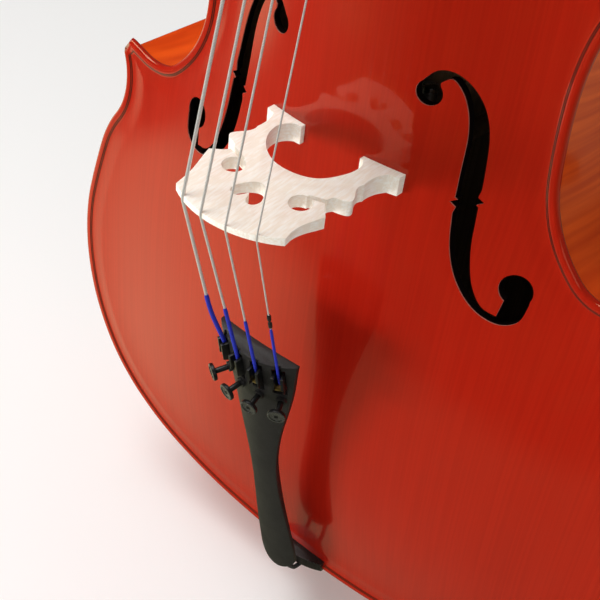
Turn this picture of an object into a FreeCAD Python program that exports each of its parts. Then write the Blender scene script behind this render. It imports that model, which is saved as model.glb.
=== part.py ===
"""A full-size cello with its endpin drawn in and its strings on.

Millimetres.  +Z runs from the endpin to the scroll, the front faces -Y and +X is the treble side.
The origin is the centre of the endpin tip's bottom face, and Y = 0 is halfway through the ribs.
"""
import FreeCAD, Part
import math
import os

V = FreeCAD.Vector
X_AXIS = V(1, 0, 0)
Y_AXIS = V(0, 1, 0)
Z_AXIS = V(0, 0, 1)

# ---------------------------------------------------------------- driving sizes
# Sound box
BODY_LENGTH = 755.0
LOWER_BOUT = 451.0
WAIST = 230.0
UPPER_BOUT = 342.0
RIB_HEIGHT = 118.0
EDGE = 4.5
OVERHANG = 4.0
PLATE = 5.0
TOP_ARCH = 23.0
BACK_ARCH = 22.0
RIB_WALL = 1.3
LINING_WALL = 2.0
LINING_HEIGHT = 14.0
CORNER_END = 11.0
BUTTON_RADIUS = 18.0
PURFLING_INSET = 4.6
PURFLING_WIDTH = 1.4
PURFLING_DEPTH = 2.0

# Inside
TOP_BLOCK_WIDTH = 140.0
TOP_BLOCK_DEPTH = 42.0
BOTTOM_BLOCK_WIDTH = 110.0
BOTTOM_BLOCK_DEPTH = 32.0
CORNER_BLOCK_REACH = 46.0
BAR_LENGTH = 580.0
BAR_WIDTH = 11.0
BAR_DEPTH = 25.0
POST_DIAMETER = 11.0
POST_BEHIND_BRIDGE = 14.0

# Bridge
STOP = 0.53245 * BODY_LENGTH
BRIDGE_HEIGHT = 90.0
FOOT_SPAN = 90.0
FOOT_LENGTH = 25.0
FOOT_THICK = 11.0
CROWN_THICK = 3.2
CROWN_RADIUS = 60.0
CROWN_SHIFT = -3.0
STRING_SPREAD = 47.0

# Neck, fingerboard and pegs
NECK_LENGTH = 280.0
BOARD_LENGTH = 560.0
BOARD_NUT_WIDTH = 32.0
BOARD_END_WIDTH = 62.0
BOARD_RADIUS = 62.0
BOARD_THICK = 13.0
BOARD_AT_BRIDGE = 81.5
BOARD_AT_JOINT = 31.0
NUT_SPREAD = 22.0
NUT_LENGTH = 8.0
NUT_SEAT_DEPTH = 9.0
SHAFT_DEPTH = 17.0
HEEL_DEPTH = 22.0
HEEL_LENGTH = 62.0
HEEL_WIDTH = 44.0
HEEL_FOOT_WIDTH = 30.0
MORTISE = 10.0
PEGBOX_LENGTH = 138.0
PEGBOX_NUT_WIDTH = 42.0
PEGBOX_END_WIDTH = 31.0
PEGBOX_DEPTH = 36.0
PEGBOX_WALL = 7.5
PEG_AXIS_DEPTH = 13.0
SCROLL_RADIUS = 31.0
SCROLL_WIDTH = 60.0
FIRST_PEG = 26.0
PEG_STEP = 28.0
PEG_RADIUS = 6.5
PEG_TAPER = 1.0 / 30.0
PEG_COLLAR = 11.0
PEG_HEAD_LENGTH = 34.0
PEG_HEAD_WIDTH = 29.0
PEG_HEAD_THICK = 11.0

# Tailpiece and tuners
TAIL_LENGTH = 0.31523 * BODY_LENGTH
TAIL_START = 0.14702 * BODY_LENGTH
TAIL_CROWN = 79.0
TAIL_ANGLE = 13.0
TAIL_WIDTH = 58.0
TAIL_WAIST = 21.0
TAIL_FOOT = 32.0
TAIL_THICK = 12.0
TAIL_RADIUS = 44.0
TUNER_STEP = 18.0
TUNER_WIDTH = 7.4
TUNER_WALL = 3.6
FORK_GAP = 3.6
FORK_GROOVE = 3.0
LIP_GROOVE = 1.2
TUNER_PIVOT = 12.0
TUNER_PIVOT_DEPTH = 8.6
TUNER_SCREW_AT = 31.0
TUNER_SCREW_RADIUS = 1.75
TUNER_KNOB_RADIUS = 5.4
TUNER_TRAVEL = 3.0
TUNER_KNOB_HEIGHT = TUNER_TRAVEL + 9.0
TUNER_ARM_TOP = 8.8
PIN_RADIUS = 1.2
PIN_LENGTH = 10.4
CORD_RADIUS = 1.6
CORD_SPREAD = 14.0
CORD_BORE_DEPTH = 6.5
CORD_NUT_AT = 33.0
CORD_NUT_RADIUS = 3.0
CORD_NUT_LENGTH = 5.0

# Saddle and endpin
SADDLE_WIDTH = 48.0
SADDLE_DEPTH = 9.0
SADDLE_HEIGHT = 9.0
COLLAR_RADIUS = 16.0
COLLAR_LENGTH = 9.0
COLLAR_NECK = 12.5
PLUG_RADIUS = 12.0
FERRULE_RADIUS = 11.0
FERRULE_LENGTH = 17.0
ROD_RADIUS = 5.0
ROD_TRAVEL = 320.0
ROD_LENGTH = ROD_TRAVEL + 80.0
TIP_RADIUS = 9.0
TIP_LENGTH = 26.0
CLAMP_RADIUS = 3.0
CLAMP_KNOB_RADIUS = 7.5
CLAMP_TRAVEL = 3.0
CLAMP_LENGTH = CLAMP_TRAVEL + 12.0

# Ball ends of the strings, measured back from the fork
BALL_RADIUS = 2.4
BALL_LENGTH = 5.2
BALL_AT = 18.2
BALL_DEPTH = 0.2

# Clearances
RUNNING = 0.05
GLUE_LINE = 0.1
SEAT_GAP = 0.3
POCKET_GAP = 0.5

# Strings, from the bass side: name, radius
STRINGS = (("c", 0.95), ("g", 0.78), ("d", 0.62), ("a", 0.48))
SILK_WALL = 0.3
SILK_LENGTH = 54.0
TUBE_LENGTH = 11.0
TUBE_WALL = 0.6
BRIDGE_BEND = 9.0
NUT_BEND = 9.0
SILK_BEND = 160.0

# ---------------------------------------------------------------- derived places
HALF_LOWER = LOWER_BOUT / 2
HALF_WAIST = WAIST / 2
HALF_UPPER = UPPER_BOUT / 2
FERRULE_BOTTOM = TIP_LENGTH + 1.5
COLLAR_BOTTOM = FERRULE_BOTTOM + FERRULE_LENGTH
BODY_BOTTOM = COLLAR_BOTTOM + COLLAR_LENGTH - OVERHANG
BODY_TOP = BODY_BOTTOM + BODY_LENGTH
BRIDGE_Z = BODY_TOP - STOP
FRONT_RIB = -RIB_HEIGHT / 2
BACK_RIB = RIB_HEIGHT / 2
FRONT = FRONT_RIB - EDGE
BACK = BACK_RIB + EDGE
FAR = 400.0


def front_y(height):
    """The Y of a point so high above the front plate's edge plane."""
    return FRONT - height


# ---------------------------------------------------------------- outline of the sound box
# A run is a list of stations (half width, height from the bottom, heading in degrees).
# Each pair of stations is joined by two tangent arcs.
LOWER_CORNER = (0.415 * LOWER_BOUT, 0.4330 * BODY_LENGTH)
UPPER_CORNER = (0.459 * UPPER_BOUT, 0.6640 * BODY_LENGTH)

LOWER_RUN = [
    (0.0, 0.0, 0.0),
    (0.562 * HALF_LOWER, 0.0265 * BODY_LENGTH, 20.0),
    (0.897 * HALF_LOWER, 0.1050 * BODY_LENGTH, 59.0),
    (HALF_LOWER, 0.2210 * BODY_LENGTH, 90.0),
    (0.924 * HALF_LOWER, 0.3310 * BODY_LENGTH, 108.0),
    (0.818 * HALF_LOWER, 0.4040 * BODY_LENGTH, 95.0),
    (LOWER_CORNER[0], LOWER_CORNER[1], 70.0),
]
LOWER_TIP = (LOWER_CORNER[0] - 0.59 * CORNER_END, LOWER_CORNER[1] + 0.81 * CORNER_END)
UPPER_TIP = (UPPER_CORNER[0] - 0.45 * CORNER_END, UPPER_CORNER[1] - 0.89 * CORNER_END)
WAIST_RUN = [
    (LOWER_TIP[0], LOWER_TIP[1], 200.0),
    (HALF_WAIST + 0.62 * (LOWER_TIP[0] - HALF_WAIST), LOWER_TIP[1] - 7.0, 178.0),
    (HALF_WAIST + 0.25 * (LOWER_TIP[0] - HALF_WAIST), LOWER_TIP[1] + 10.0, 127.0),
    (HALF_WAIST, 0.5560 * BODY_LENGTH, 90.0),
    (HALF_WAIST + 0.18 * (UPPER_TIP[0] - HALF_WAIST), 0.6150 * BODY_LENGTH, 71.0),
    (HALF_WAIST + 0.52 * (UPPER_TIP[0] - HALF_WAIST), UPPER_TIP[1] - 6.0, 36.0),
    (UPPER_TIP[0], UPPER_TIP[1], -8.0),
]
UPPER_RUN = [
    (UPPER_CORNER[0], UPPER_CORNER[1], 128.0),
    (0.860 * HALF_UPPER, 0.6980 * BODY_LENGTH, 94.0),
    (0.912 * HALF_UPPER, 0.7590 * BODY_LENGTH, 75.0),
    (HALF_UPPER, 0.8350 * BODY_LENGTH, 90.0),
    (0.936 * HALF_UPPER, 0.9035 * BODY_LENGTH, 118.0),
    (0.673 * HALF_UPPER, 0.9670 * BODY_LENGTH, 152.0),
    (0.0, BODY_LENGTH, 180.0),
]


def heading_vector(degrees):
    angle = math.radians(degrees)
    return (math.cos(angle), math.sin(angle))


def biarc(start, end):
    """Two tangent arcs between two stations, each as (point, heading, point, heading)."""
    (x0, z0, h0), (x1, z1, h1) = start, end
    t0 = heading_vector(h0)
    t1 = heading_vector(h1)
    v = (x1 - x0, z1 - z0)
    vv = v[0] ** 2 + v[1] ** 2
    vt = v[0] * (t0[0] + t1[0]) + v[1] * (t0[1] + t1[1])
    spread = 2 * (1 - t0[0] * t1[0] - t0[1] * t1[1])
    if spread < 1e-9:
        reach = vv / (2 * vt)
    else:
        reach = (-vt + math.sqrt(vt * vt + spread * vv)) / spread
    join = ((x0 + x1 + reach * (t0[0] - t1[0])) / 2, (z0 + z1 + reach * (t0[1] - t1[1])) / 2)
    chord = math.degrees(math.atan2(join[1] - z0, join[0] - x0))
    turn = (chord - h0 + 180) % 360 - 180
    middle = h0 + 2 * turn
    last = middle + ((h1 - middle + 180) % 360 - 180)
    return [((x0, z0), h0, join, middle), (join, middle, (x1, z1), last)]


def run_arcs(stations):
    arcs = []
    for start, end in zip(stations, stations[1:]):
        arcs += biarc(start, end)
    return arcs


RUNS = {"lower": run_arcs(LOWER_RUN), "waist": run_arcs(WAIST_RUN), "upper": run_arcs(UPPER_RUN)}


def outline_point(x, z, side):
    return V(side * x, 0, BODY_BOTTOM + z)


def offset_edges(arcs, inset, side):
    """The edges of a run moved inward by inset, on the treble (1) or bass (-1) side."""
    edges = []
    for (p0, h0, p1, h1) in arcs:
        n0 = heading_vector(h0 + 90)
        n1 = heading_vector(h1 + 90)
        a = (p0[0] + inset * n0[0], p0[1] + inset * n0[1])
        b = (p1[0] + inset * n1[0], p1[1] + inset * n1[1])
        if math.hypot(b[0] - a[0], b[1] - a[1]) < 1e-4:
            continue
        half = math.radians(h1 - h0) / 2
        bulge = math.tan(half / 2) / 2
        middle = ((a[0] + b[0]) / 2 + bulge * (b[1] - a[1]), (a[1] + b[1]) / 2 - bulge * (b[0] - a[0]))
        start, end = outline_point(a[0], a[1], side), outline_point(b[0], b[1], side)
        if abs(half) < 1e-4:
            edges.append(Part.LineSegment(start, end).toShape())
        else:
            edges.append(Part.Arc(start, outline_point(middle[0], middle[1], side), end).toShape())
    return edges


def end_points(arcs, inset, side):
    first, last = arcs[0], arcs[-1]
    n0, n1 = heading_vector(first[1] + 90), heading_vector(last[3] + 90)
    start = outline_point(first[0][0] + inset * n0[0], first[0][1] + inset * n0[1], side)
    end = outline_point(last[2][0] + inset * n1[0], last[2][1] + inset * n1[1], side)
    return start, end


def prism(edges, y_low, y_high):
    """A flat closed chain of edges in the XZ plane, extruded along Y."""
    wire = Part.Wire(Part.__sortEdges__(edges))
    face = Part.Face(wire)
    face.translate(V(0, y_low, 0))
    return face.extrude(V(0, y_high - y_low, 0))


def outline_edges():
    edges = []
    for side in (1, -1):
        for name in ("lower", "waist", "upper"):
            edges += offset_edges(RUNS[name], 0.0, side)
        for low, high in (("lower", "waist"), ("waist", "upper")):
            start = end_points(RUNS[low], 0.0, side)[1]
            end = end_points(RUNS[high], 0.0, side)[0]
            edges.append(Part.LineSegment(start, end).toShape())
    return edges


def ribbon(name, side, outer, inner, y_low, y_high):
    """A strip that follows one run between two insets."""
    arcs = RUNS[name]
    edges = offset_edges(arcs, outer, side) + offset_edges(arcs, inner, side)
    for a, b in zip(end_points(arcs, outer, side), end_points(arcs, inner, side)):
        edges.append(Part.LineSegment(a, b).toShape())
    return prism(edges, y_low, y_high)


def corner_trimmer(inset):
    """Everything beyond the four corner ends, less an inset."""
    pieces = []
    for side in (1, -1):
        for tip, corner in ((LOWER_TIP, LOWER_CORNER), (UPPER_TIP, UPPER_CORNER)):
            a, b = outline_point(tip[0], tip[1], side), outline_point(corner[0], corner[1], side)
            along = (b - a).normalize()
            out = V(-along.z, 0, along.x)
            if out.x * side < 0:
                out = out * -1
            start = a - out * inset - along * 30
            corners = [start, start + along * 70, start + along * 70 + out * 40, start + out * 40]
            wire = Part.makePolygon(corners + [start])
            face = Part.Face(wire)
            face.translate(V(0, -FAR, 0))
            pieces.append(face.extrude(V(0, 2 * FAR, 0)))
    return Part.makeCompound(pieces)


def biggest(shape):
    return max(shape.Solids, key=lambda solid: solid.Volume)


# ---------------------------------------------------------------- arching
LONG_START = 0.0145 * BODY_LENGTH
LONG_END = 0.9855 * BODY_LENGTH
CHANNEL = 13.0


def channel_half_width(z):
    """Half the width of the arched part at a height from the body's bottom."""
    low, waist, high = 0.2210 * BODY_LENGTH, 0.5500 * BODY_LENGTH, 0.8240 * BODY_LENGTH
    lower, middle, upper = HALF_LOWER - CHANNEL, HALF_WAIST - CHANNEL, HALF_UPPER - CHANNEL
    if z < low:
        share = min(1.0, (low - z) / (low - LONG_START))
        return lower * (1 - share ** 2.5) ** 0.4
    if z < waist:
        share = ((z - low) / (waist - low)) ** 1.25
        return lower + (middle - lower) * share * share * (3 - 2 * share)
    if z < high:
        share = ((z - waist) / (high - waist)) ** 1.25
        return middle + (upper - middle) * share * share * (3 - 2 * share)
    share = min(1.0, (z - high) / (LONG_END - high))
    return upper * (1 - share ** 2.5) ** 0.4


def arch_height(x, z, crown):
    """The arch above the edge plane: z is counted from the body's bottom."""
    middle, half = (LONG_START + LONG_END) / 2, (LONG_END - LONG_START) / 2
    along = (z - middle) / half
    width = channel_half_width(z)
    if abs(along) >= 1 or width < 1 or abs(x) >= width:
        return 0.0
    across = x / width
    lengthwise = (1 - along ** 6) ** 2 * (1 + 0.3 * along ** 6)
    return crown * lengthwise * (1 - across * across) ** 2 * (1 + 0.9 * across * across)


def arch_face(crown, sign, level):
    """The arched surface, sign -1 for the front and 1 for the back, from a base level in Y."""
    columns, rows = 47, 81
    span_x, span_z = HALF_LOWER + 12, BODY_LENGTH + 40
    grid = []
    for row in range(rows):
        z = -20 + span_z * row / (rows - 1)
        line = []
        for column in range(columns):
            x = -span_x + 2 * span_x * column / (columns - 1)
            line.append(V(x, level + sign * arch_height(x, z, crown), BODY_BOTTOM + z))
        grid.append(line)
    surface = Part.BSplineSurface()
    surface.interpolate(grid)
    return surface.toShape()


UNDER_TOP = arch_face(TOP_ARCH, -1, FRONT).extrude(V(0, 2 * RIB_HEIGHT, 0))
INSIDE_TOP = arch_face(TOP_ARCH, -1, FRONT + PLATE).extrude(V(0, 2 * RIB_HEIGHT, 0))
OVER_BACK = arch_face(BACK_ARCH, 1, BACK).extrude(V(0, -2 * RIB_HEIGHT, 0))
INSIDE_BACK = arch_face(BACK_ARCH, 1, BACK - PLATE).extrude(V(0, -2 * RIB_HEIGHT, 0))


# ---------------------------------------------------------------- f-holes
# The blade's two long curves, as (distance from the centre line, height from the bridge).
F_EYES = ((48.0, 53.0, 6.8), (114.0, -36.0, 9.0))
F_OUTER = ((43.4, 58.2), (50.5, 65.8), (58.2, 67.0), (66.5, 63.0), (74.0, 54.5), (79.3, 41.8),
           (82.6, 20.0), (84.6, -3.0), (87.0, -24.5), (93.0, -43.5), (100.5, -52.5), (108.5, -54.3))
F_INNER = ((51.5, 58.8), (57.5, 63.2), (62.5, 59.0), (67.0, 50.5), (70.0, 38.0), (71.2, 16.0),
           (72.6, -6.0), (76.0, -26.5), (82.0, -41.0), (91.0, -52.0), (101.0, -57.8), (111.5, -58.6),
           (120.0, -53.0), (123.0, -38.0))
F_NOTCH = 2.4
F_NOTCH_INNER = (71.9, -0.2)
F_NOTCH_OUTER = (84.2, 4.5)
F_DEPTH = TOP_ARCH + PLATE + 20


def f_point(x, z, side):
    return V(side * x, FRONT - TOP_ARCH - 10, BRIDGE_Z + z)


def curve_through(points):
    spline = Part.BSplineCurve()
    spline.interpolate(points)
    return spline.toShape()


def f_hole(side):
    outer = curve_through([f_point(x, z, side) for x, z in F_OUTER])
    inner = curve_through([f_point(x, z, side) for x, z in F_INNER])
    top_eye = f_point(F_EYES[0][0], F_EYES[0][1], side)
    foot_eye = f_point(F_EYES[1][0], F_EYES[1][1], side)
    inner_end, outer_end = inner.Vertexes[-1].Point, outer.Vertexes[-1].Point
    edges = [outer, inner]
    edges.append(Part.LineSegment(outer.Vertexes[0].Point, top_eye).toShape())
    edges.append(Part.LineSegment(top_eye, inner.Vertexes[0].Point).toShape())
    edges.append(Part.LineSegment(inner_end, foot_eye).toShape())
    edges.append(Part.LineSegment(foot_eye, outer_end).toShape())
    blade = Part.Face(Part.Wire(Part.__sortEdges__(edges))).extrude(V(0, F_DEPTH, 0))
    tools = []
    for x, z, radius in F_EYES:
        tools.append(Part.makeCylinder(radius, F_DEPTH, f_point(x, z, side), Y_AXIS))
    for (x, z), way in ((F_NOTCH_INNER, -1), (F_NOTCH_OUTER, 1)):
        a = f_point(x - way * 2, z + F_NOTCH, side)
        b = f_point(x + way * F_NOTCH, z, side)
        c = f_point(x - way * 2, z - F_NOTCH, side)
        tools.append(Part.Face(Part.makePolygon([a, b, c, a])).extrude(V(0, F_DEPTH, 0)))
    return blade.multiFuse(tools)


# ---------------------------------------------------------------- plates and ribs
def purfling_strips(y_low, y_high):
    strips = []
    for side in (1, -1):
        for name in ("lower", "waist", "upper"):
            strips.append(ribbon(name, side, PURFLING_INSET, PURFLING_INSET + PURFLING_WIDTH, y_low, y_high))
    ring = strips[0].multiFuse(strips[1:])
    return ring.cut(corner_trimmer(2.0))


def make_plates():
    outline = outline_edges()
    top = prism(outline, FRONT - TOP_ARCH - 5, FRONT_RIB).common(UNDER_TOP).cut(INSIDE_TOP)
    for side in (1, -1):
        top = top.cut(f_hole(side))
    button = Part.makeCylinder(BUTTON_RADIUS, EDGE + BACK_ARCH, V(0, BACK_RIB, BODY_TOP), Y_AXIS)
    neck_side = Part.makeBox(4 * BUTTON_RADIUS, FAR, FAR, V(-2 * BUTTON_RADIUS, 0, BODY_TOP - 6))
    back = prism(outline, BACK_RIB, BACK + BACK_ARCH + 5).fuse(button.common(neck_side))
    back = back.common(OVER_BACK).cut(INSIDE_BACK)
    front_ring = purfling_strips(FRONT - 2, FRONT + PURFLING_DEPTH)
    back_ring = purfling_strips(BACK - PURFLING_DEPTH, BACK + 2)
    inlays = front_ring.common(top).Solids + back_ring.common(back).Solids
    return top.cut(front_ring), back.cut(back_ring), Part.makeCompound(inlays)


def make_ribs():
    ribs = {}
    trimmer = corner_trimmer(OVERHANG)
    inner = OVERHANG + RIB_WALL
    for side, word in ((1, "treble"), (-1, "bass")):
        for name in ("lower", "upper"):
            strip = ribbon(name, side, OVERHANG, inner, FRONT_RIB, BACK_RIB)
            ribs["rib_%s_%s" % (name, word)] = biggest(strip.cut(trimmer))
        waist = ribbon("waist", side, OVERHANG, inner, FRONT_RIB, BACK_RIB).cut(trimmer)
        waist = waist.cut(ribs["rib_lower_" + word]).cut(ribs["rib_upper_" + word])
        ribs["rib_waist_" + word] = biggest(waist)
    return ribs


def block_from(box, rib_space):
    """The part of a box that lies inside the ribs."""
    inside = box.common(prism(outline_edges(), FRONT_RIB, BACK_RIB))
    return biggest(inside.cut(rib_space))


def make_blocks():
    rib_space = []
    for side in (1, -1):
        for name in ("lower", "waist", "upper"):
            glued = OVERHANG + RIB_WALL + GLUE_LINE
            rib_space.append(ribbon(name, side, OVERHANG, glued, FRONT_RIB - 1, BACK_RIB + 1))
    rib_space = rib_space[0].multiFuse(rib_space[1:])
    trimmer = corner_trimmer(OVERHANG)
    bottom = Part.makeBox(BOTTOM_BLOCK_WIDTH, RIB_HEIGHT, BOTTOM_BLOCK_DEPTH,
                          V(-BOTTOM_BLOCK_WIDTH / 2, FRONT_RIB, BODY_BOTTOM + OVERHANG))
    top = Part.makeBox(TOP_BLOCK_WIDTH, RIB_HEIGHT, TOP_BLOCK_DEPTH + 20,
                       V(-TOP_BLOCK_WIDTH / 2, FRONT_RIB, BODY_TOP - OVERHANG - TOP_BLOCK_DEPTH))
    corners = []
    for side in (1, -1):
        for corner in (LOWER_CORNER, UPPER_CORNER):
            centre = outline_point(corner[0] - CORNER_BLOCK_REACH / 2, corner[1], side)
            box = Part.makeBox(CORNER_BLOCK_REACH, RIB_HEIGHT, CORNER_BLOCK_REACH,
                               centre + V(-CORNER_BLOCK_REACH / 2, FRONT_RIB, -CORNER_BLOCK_REACH / 2))
            corners.append(biggest(block_from(box, rib_space).cut(trimmer)))
    return block_from(bottom, rib_space), block_from(top, rib_space), corners


def make_linings(blocks):
    strips = []
    inner = OVERHANG + RIB_WALL + GLUE_LINE
    for y_low in (FRONT_RIB, BACK_RIB - LINING_HEIGHT):
        for side in (1, -1):
            for name in ("lower", "waist", "upper"):
                strip = ribbon(name, side, inner, inner + LINING_WALL, y_low, y_low + LINING_HEIGHT)
                strips.append(biggest(strip.cut(Part.makeCompound(blocks))))
    return Part.makeCompound(strips)


def make_bass_bar():
    centre = BRIDGE_Z - 6
    x = -(FOOT_SPAN - FOOT_LENGTH) / 2 - BAR_WIDTH / 2
    ends = (centre - BAR_LENGTH / 2, centre + BAR_LENGTH / 2)
    shallow, deep = FRONT_RIB + 1, FRONT + PLATE - TOP_ARCH + BAR_DEPTH
    lowest = Part.Arc(V(x, shallow, ends[0]), V(x, deep, centre), V(x, shallow, ends[1])).toShape()
    high = FRONT - TOP_ARCH
    sides = Part.makePolygon([V(x, shallow, ends[1]), V(x, high, ends[1]), V(x, high, ends[0]),
                              V(x, shallow, ends[0])])
    face = Part.Face(Part.Wire(Part.__sortEdges__([lowest] + sides.Edges)))
    seat = INSIDE_TOP.copy()
    seat.translate(V(0, GLUE_LINE, 0))
    return biggest(face.extrude(V(BAR_WIDTH, 0, 0)).common(seat))


def make_sound_post():
    x = (FOOT_SPAN - FOOT_LENGTH) / 2 - 6
    z = BRIDGE_Z - POST_BEHIND_BRIDGE
    post = Part.makeCylinder(POST_DIAMETER / 2, FAR, V(x, -FAR / 2, z), Y_AXIS)
    return biggest(post.common(INSIDE_TOP).common(INSIDE_BACK))


# ---------------------------------------------------------------- bridge
# Outlines as (x, height above the belly), from the crown's bass end down to the bass foot and round.
CROWN_CENTRE = BRIDGE_HEIGHT - CROWN_RADIUS
BRIDGE_BASS = ((-33.5, 75.5), (-36.0, 65.5), (-40.0, 54.0), (-41.0, 50.5), (-36.8, 47.5), (-32.8, 42.5),
               (-33.6, 38.5), (-41.8, 31.5), (-38.4, 27.0), (-36.4, 19.0), (-36.6, 9.5), (-39.5, 3.0))
BRIDGE_TREBLE = ((34.0, 71.5), (34.6, 63.0), (37.0, 55.5), (38.4, 51.5), (33.6, 46.5), (30.6, 41.0),
                 (32.0, 37.0), (39.6, 31.2), (37.0, 27.0), (36.2, 19.0), (36.6, 9.5), (39.5, 3.0))
ARCH_OPENING = ((-24.0, 2.5), (-28.8, 9.0), (-28.0, 19.0), (-20.5, 29.5), (-8.5, 35.8), (4.0, 36.0),
                (15.5, 31.5), (22.5, 22.0), (25.6, 10.0), (22.0, 2.5))
KIDNEY_X = 22.5
KIDNEY_HEIGHT = 51.5
KIDNEY_RADIUS = 6.3
KIDNEY_SLOT = 3.2


def bridge_point(x, height):
    return V(x, front_y(TOP_ARCH + height), BRIDGE_Z)


def crown_height(x):
    return CROWN_CENTRE + math.sqrt(CROWN_RADIUS ** 2 - (x - CROWN_SHIFT) ** 2)


def bridge_cut(points):
    """A hole right through the bridge with a smooth closed outline."""
    spline = Part.BSplineCurve()
    spline.interpolate([bridge_point(x, height) for x, height in points], PeriodicFlag=True)
    face = Part.Face(Part.Wire([spline.toShape()]))
    face.translate(V(0, 0, -FOOT_THICK))
    return face.extrude(V(0, 0, 2 * FOOT_THICK))


def make_bridge():
    half = FOOT_SPAN / 2
    bass, treble = BRIDGE_BASS[0], BRIDGE_TREBLE[0]
    crown_left, crown_right = (-32.5, crown_height(-32.5)), (35.0, crown_height(35.0))
    crown = Part.Arc(bridge_point(*crown_left), bridge_point(CROWN_SHIFT, BRIDGE_HEIGHT),
                     bridge_point(*crown_right)).toShape()
    right = Part.makePolygon([bridge_point(*crown_right), bridge_point(*treble)]).Edges
    right += smooth_pieces(BRIDGE_TREBLE)
    left = Part.makePolygon([bridge_point(*crown_left), bridge_point(*bass)]).Edges
    left += smooth_pieces(BRIDGE_BASS)
    deep = -12.0
    feet = [BRIDGE_TREBLE[-1], (half, 1.5), (half, deep), (half - FOOT_LENGTH, deep),
            (half - FOOT_LENGTH, 2.5), ARCH_OPENING[-1]]
    feet_left = [BRIDGE_BASS[-1], (-half, 1.5), (-half, deep), (FOOT_LENGTH - half, deep),
                 (FOOT_LENGTH - half, 2.5), ARCH_OPENING[0]]
    edges = [crown] + right + left
    edges += Part.makePolygon([bridge_point(*p) for p in feet]).Edges
    edges += Part.makePolygon([bridge_point(*p) for p in feet_left]).Edges
    edges.append(curve_through([bridge_point(*p) for p in ARCH_OPENING]))
    face = Part.Face(Part.Wire(Part.__sortEdges__(edges)))
    face.translate(V(0, 0, -FOOT_THICK))
    blank = face.extrude(V(0, 0, 2 * FOOT_THICK))

    low, high = front_y(TOP_ARCH + deep), front_y(TOP_ARCH + BRIDGE_HEIGHT)
    wedge = [V(-60, low, BRIDGE_Z - FOOT_THICK / 2), V(-60, low, BRIDGE_Z + FOOT_THICK / 2),
             V(-60, front_y(TOP_ARCH + 12), BRIDGE_Z + FOOT_THICK / 2),
             V(-60, high, BRIDGE_Z - FOOT_THICK / 2 + CROWN_THICK), V(-60, high, BRIDGE_Z - FOOT_THICK / 2)]
    blank = blank.common(Part.Face(Part.makePolygon(wedge + wedge[:1])).extrude(V(120, 0, 0)))

    for side in (1, -1):
        eye = Part.makeCylinder(KIDNEY_RADIUS, 2 * FOOT_THICK,
                                bridge_point(side * KIDNEY_X, KIDNEY_HEIGHT) - V(0, 0, FOOT_THICK), Z_AXIS)
        slot = [(side * (KIDNEY_X - 1), KIDNEY_HEIGHT - KIDNEY_RADIUS + KIDNEY_SLOT / 2),
                (side * (KIDNEY_X + 14), KIDNEY_HEIGHT - KIDNEY_RADIUS - KIDNEY_SLOT),
                (side * (KIDNEY_X + 14), KIDNEY_HEIGHT - KIDNEY_RADIUS - 2 * KIDNEY_SLOT),
                (side * (KIDNEY_X - 1), KIDNEY_HEIGHT - KIDNEY_RADIUS - KIDNEY_SLOT / 3)]
        wire = Part.makePolygon([bridge_point(*p) for p in slot + slot[:1]])
        slot_face = Part.Face(wire)
        slot_face.translate(V(0, 0, -FOOT_THICK))
        blank = blank.cut(eye).cut(slot_face.extrude(V(0, 0, 2 * FOOT_THICK)))
    heart = ((-10.5, 66.0), (-8.3, 58.6), (-1.0, 53.2), (3.2, 55.5), (6.0, 60.0), (8.0, 65.0), (5.5, 69.4),
             (1.5, 68.5), (-1.0, 63.2), (-5.3, 68.8))
    blank = blank.cut(bridge_cut(heart))
    return biggest(blank.cut(UNDER_TOP))


def smooth_pieces(points):
    """A side of the bridge: short smooth runs that meet at its points and wings."""
    edges = []
    for start in range(0, len(points) - 1, 3):
        piece = [bridge_point(*p) for p in points[start:start + 4]]
        edges.append(curve_through(piece))
    return edges


# ---------------------------------------------------------------- neck, fingerboard, nut
# The neck's own frame: origin on the playing line at the nut, +Z to the scroll, -Y outward.
BOARD_SLOPE = math.atan((TOP_ARCH + BOARD_AT_BRIDGE - BOARD_AT_JOINT) / STOP)
NUT_ORIGIN = V(0, front_y(BOARD_AT_JOINT - NECK_LENGTH * math.sin(BOARD_SLOPE)),
               BODY_TOP + NECK_LENGTH * math.cos(BOARD_SLOPE))
NECK_FRAME = FreeCAD.Placement(NUT_ORIGIN, FreeCAD.Rotation(X_AXIS, -math.degrees(BOARD_SLOPE)))
BOARD_END = -BOARD_LENGTH


def in_neck(shape):
    """Move a shape drawn in the neck's frame to its place."""
    placed = shape.copy()
    placed.Placement = NECK_FRAME.multiply(placed.Placement)
    return placed


def neck_to_body(point):
    return NECK_FRAME.multVec(point)


def polygon_prism(points, direction):
    return Part.Face(Part.makePolygon(points + points[:1])).extrude(direction)


def board_half_width(z):
    share = -z / BOARD_LENGTH
    return (BOARD_NUT_WIDTH + (BOARD_END_WIDTH - BOARD_NUT_WIDTH) * share) / 2


def make_fingerboard():
    top = -NUT_LENGTH
    plan = [V(-board_half_width(top), 0, top), V(board_half_width(top), 0, top),
            V(board_half_width(BOARD_END), 0, BOARD_END), V(-board_half_width(BOARD_END), 0, BOARD_END)]
    blank = polygon_prism(plan, V(0, BOARD_THICK, 0))
    round_top = Part.makeCylinder(BOARD_RADIUS, BOARD_LENGTH, V(0, BOARD_RADIUS, BOARD_END), Z_AXIS)
    board = blank.common(round_top)
    hollow = Part.makeCylinder(BOARD_RADIUS, BOARD_LENGTH - NECK_LENGTH - HEEL_LENGTH,
                               V(0, BOARD_THICK + BOARD_RADIUS - 5, BOARD_END), Z_AXIS)
    return board.cut(hollow)


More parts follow.
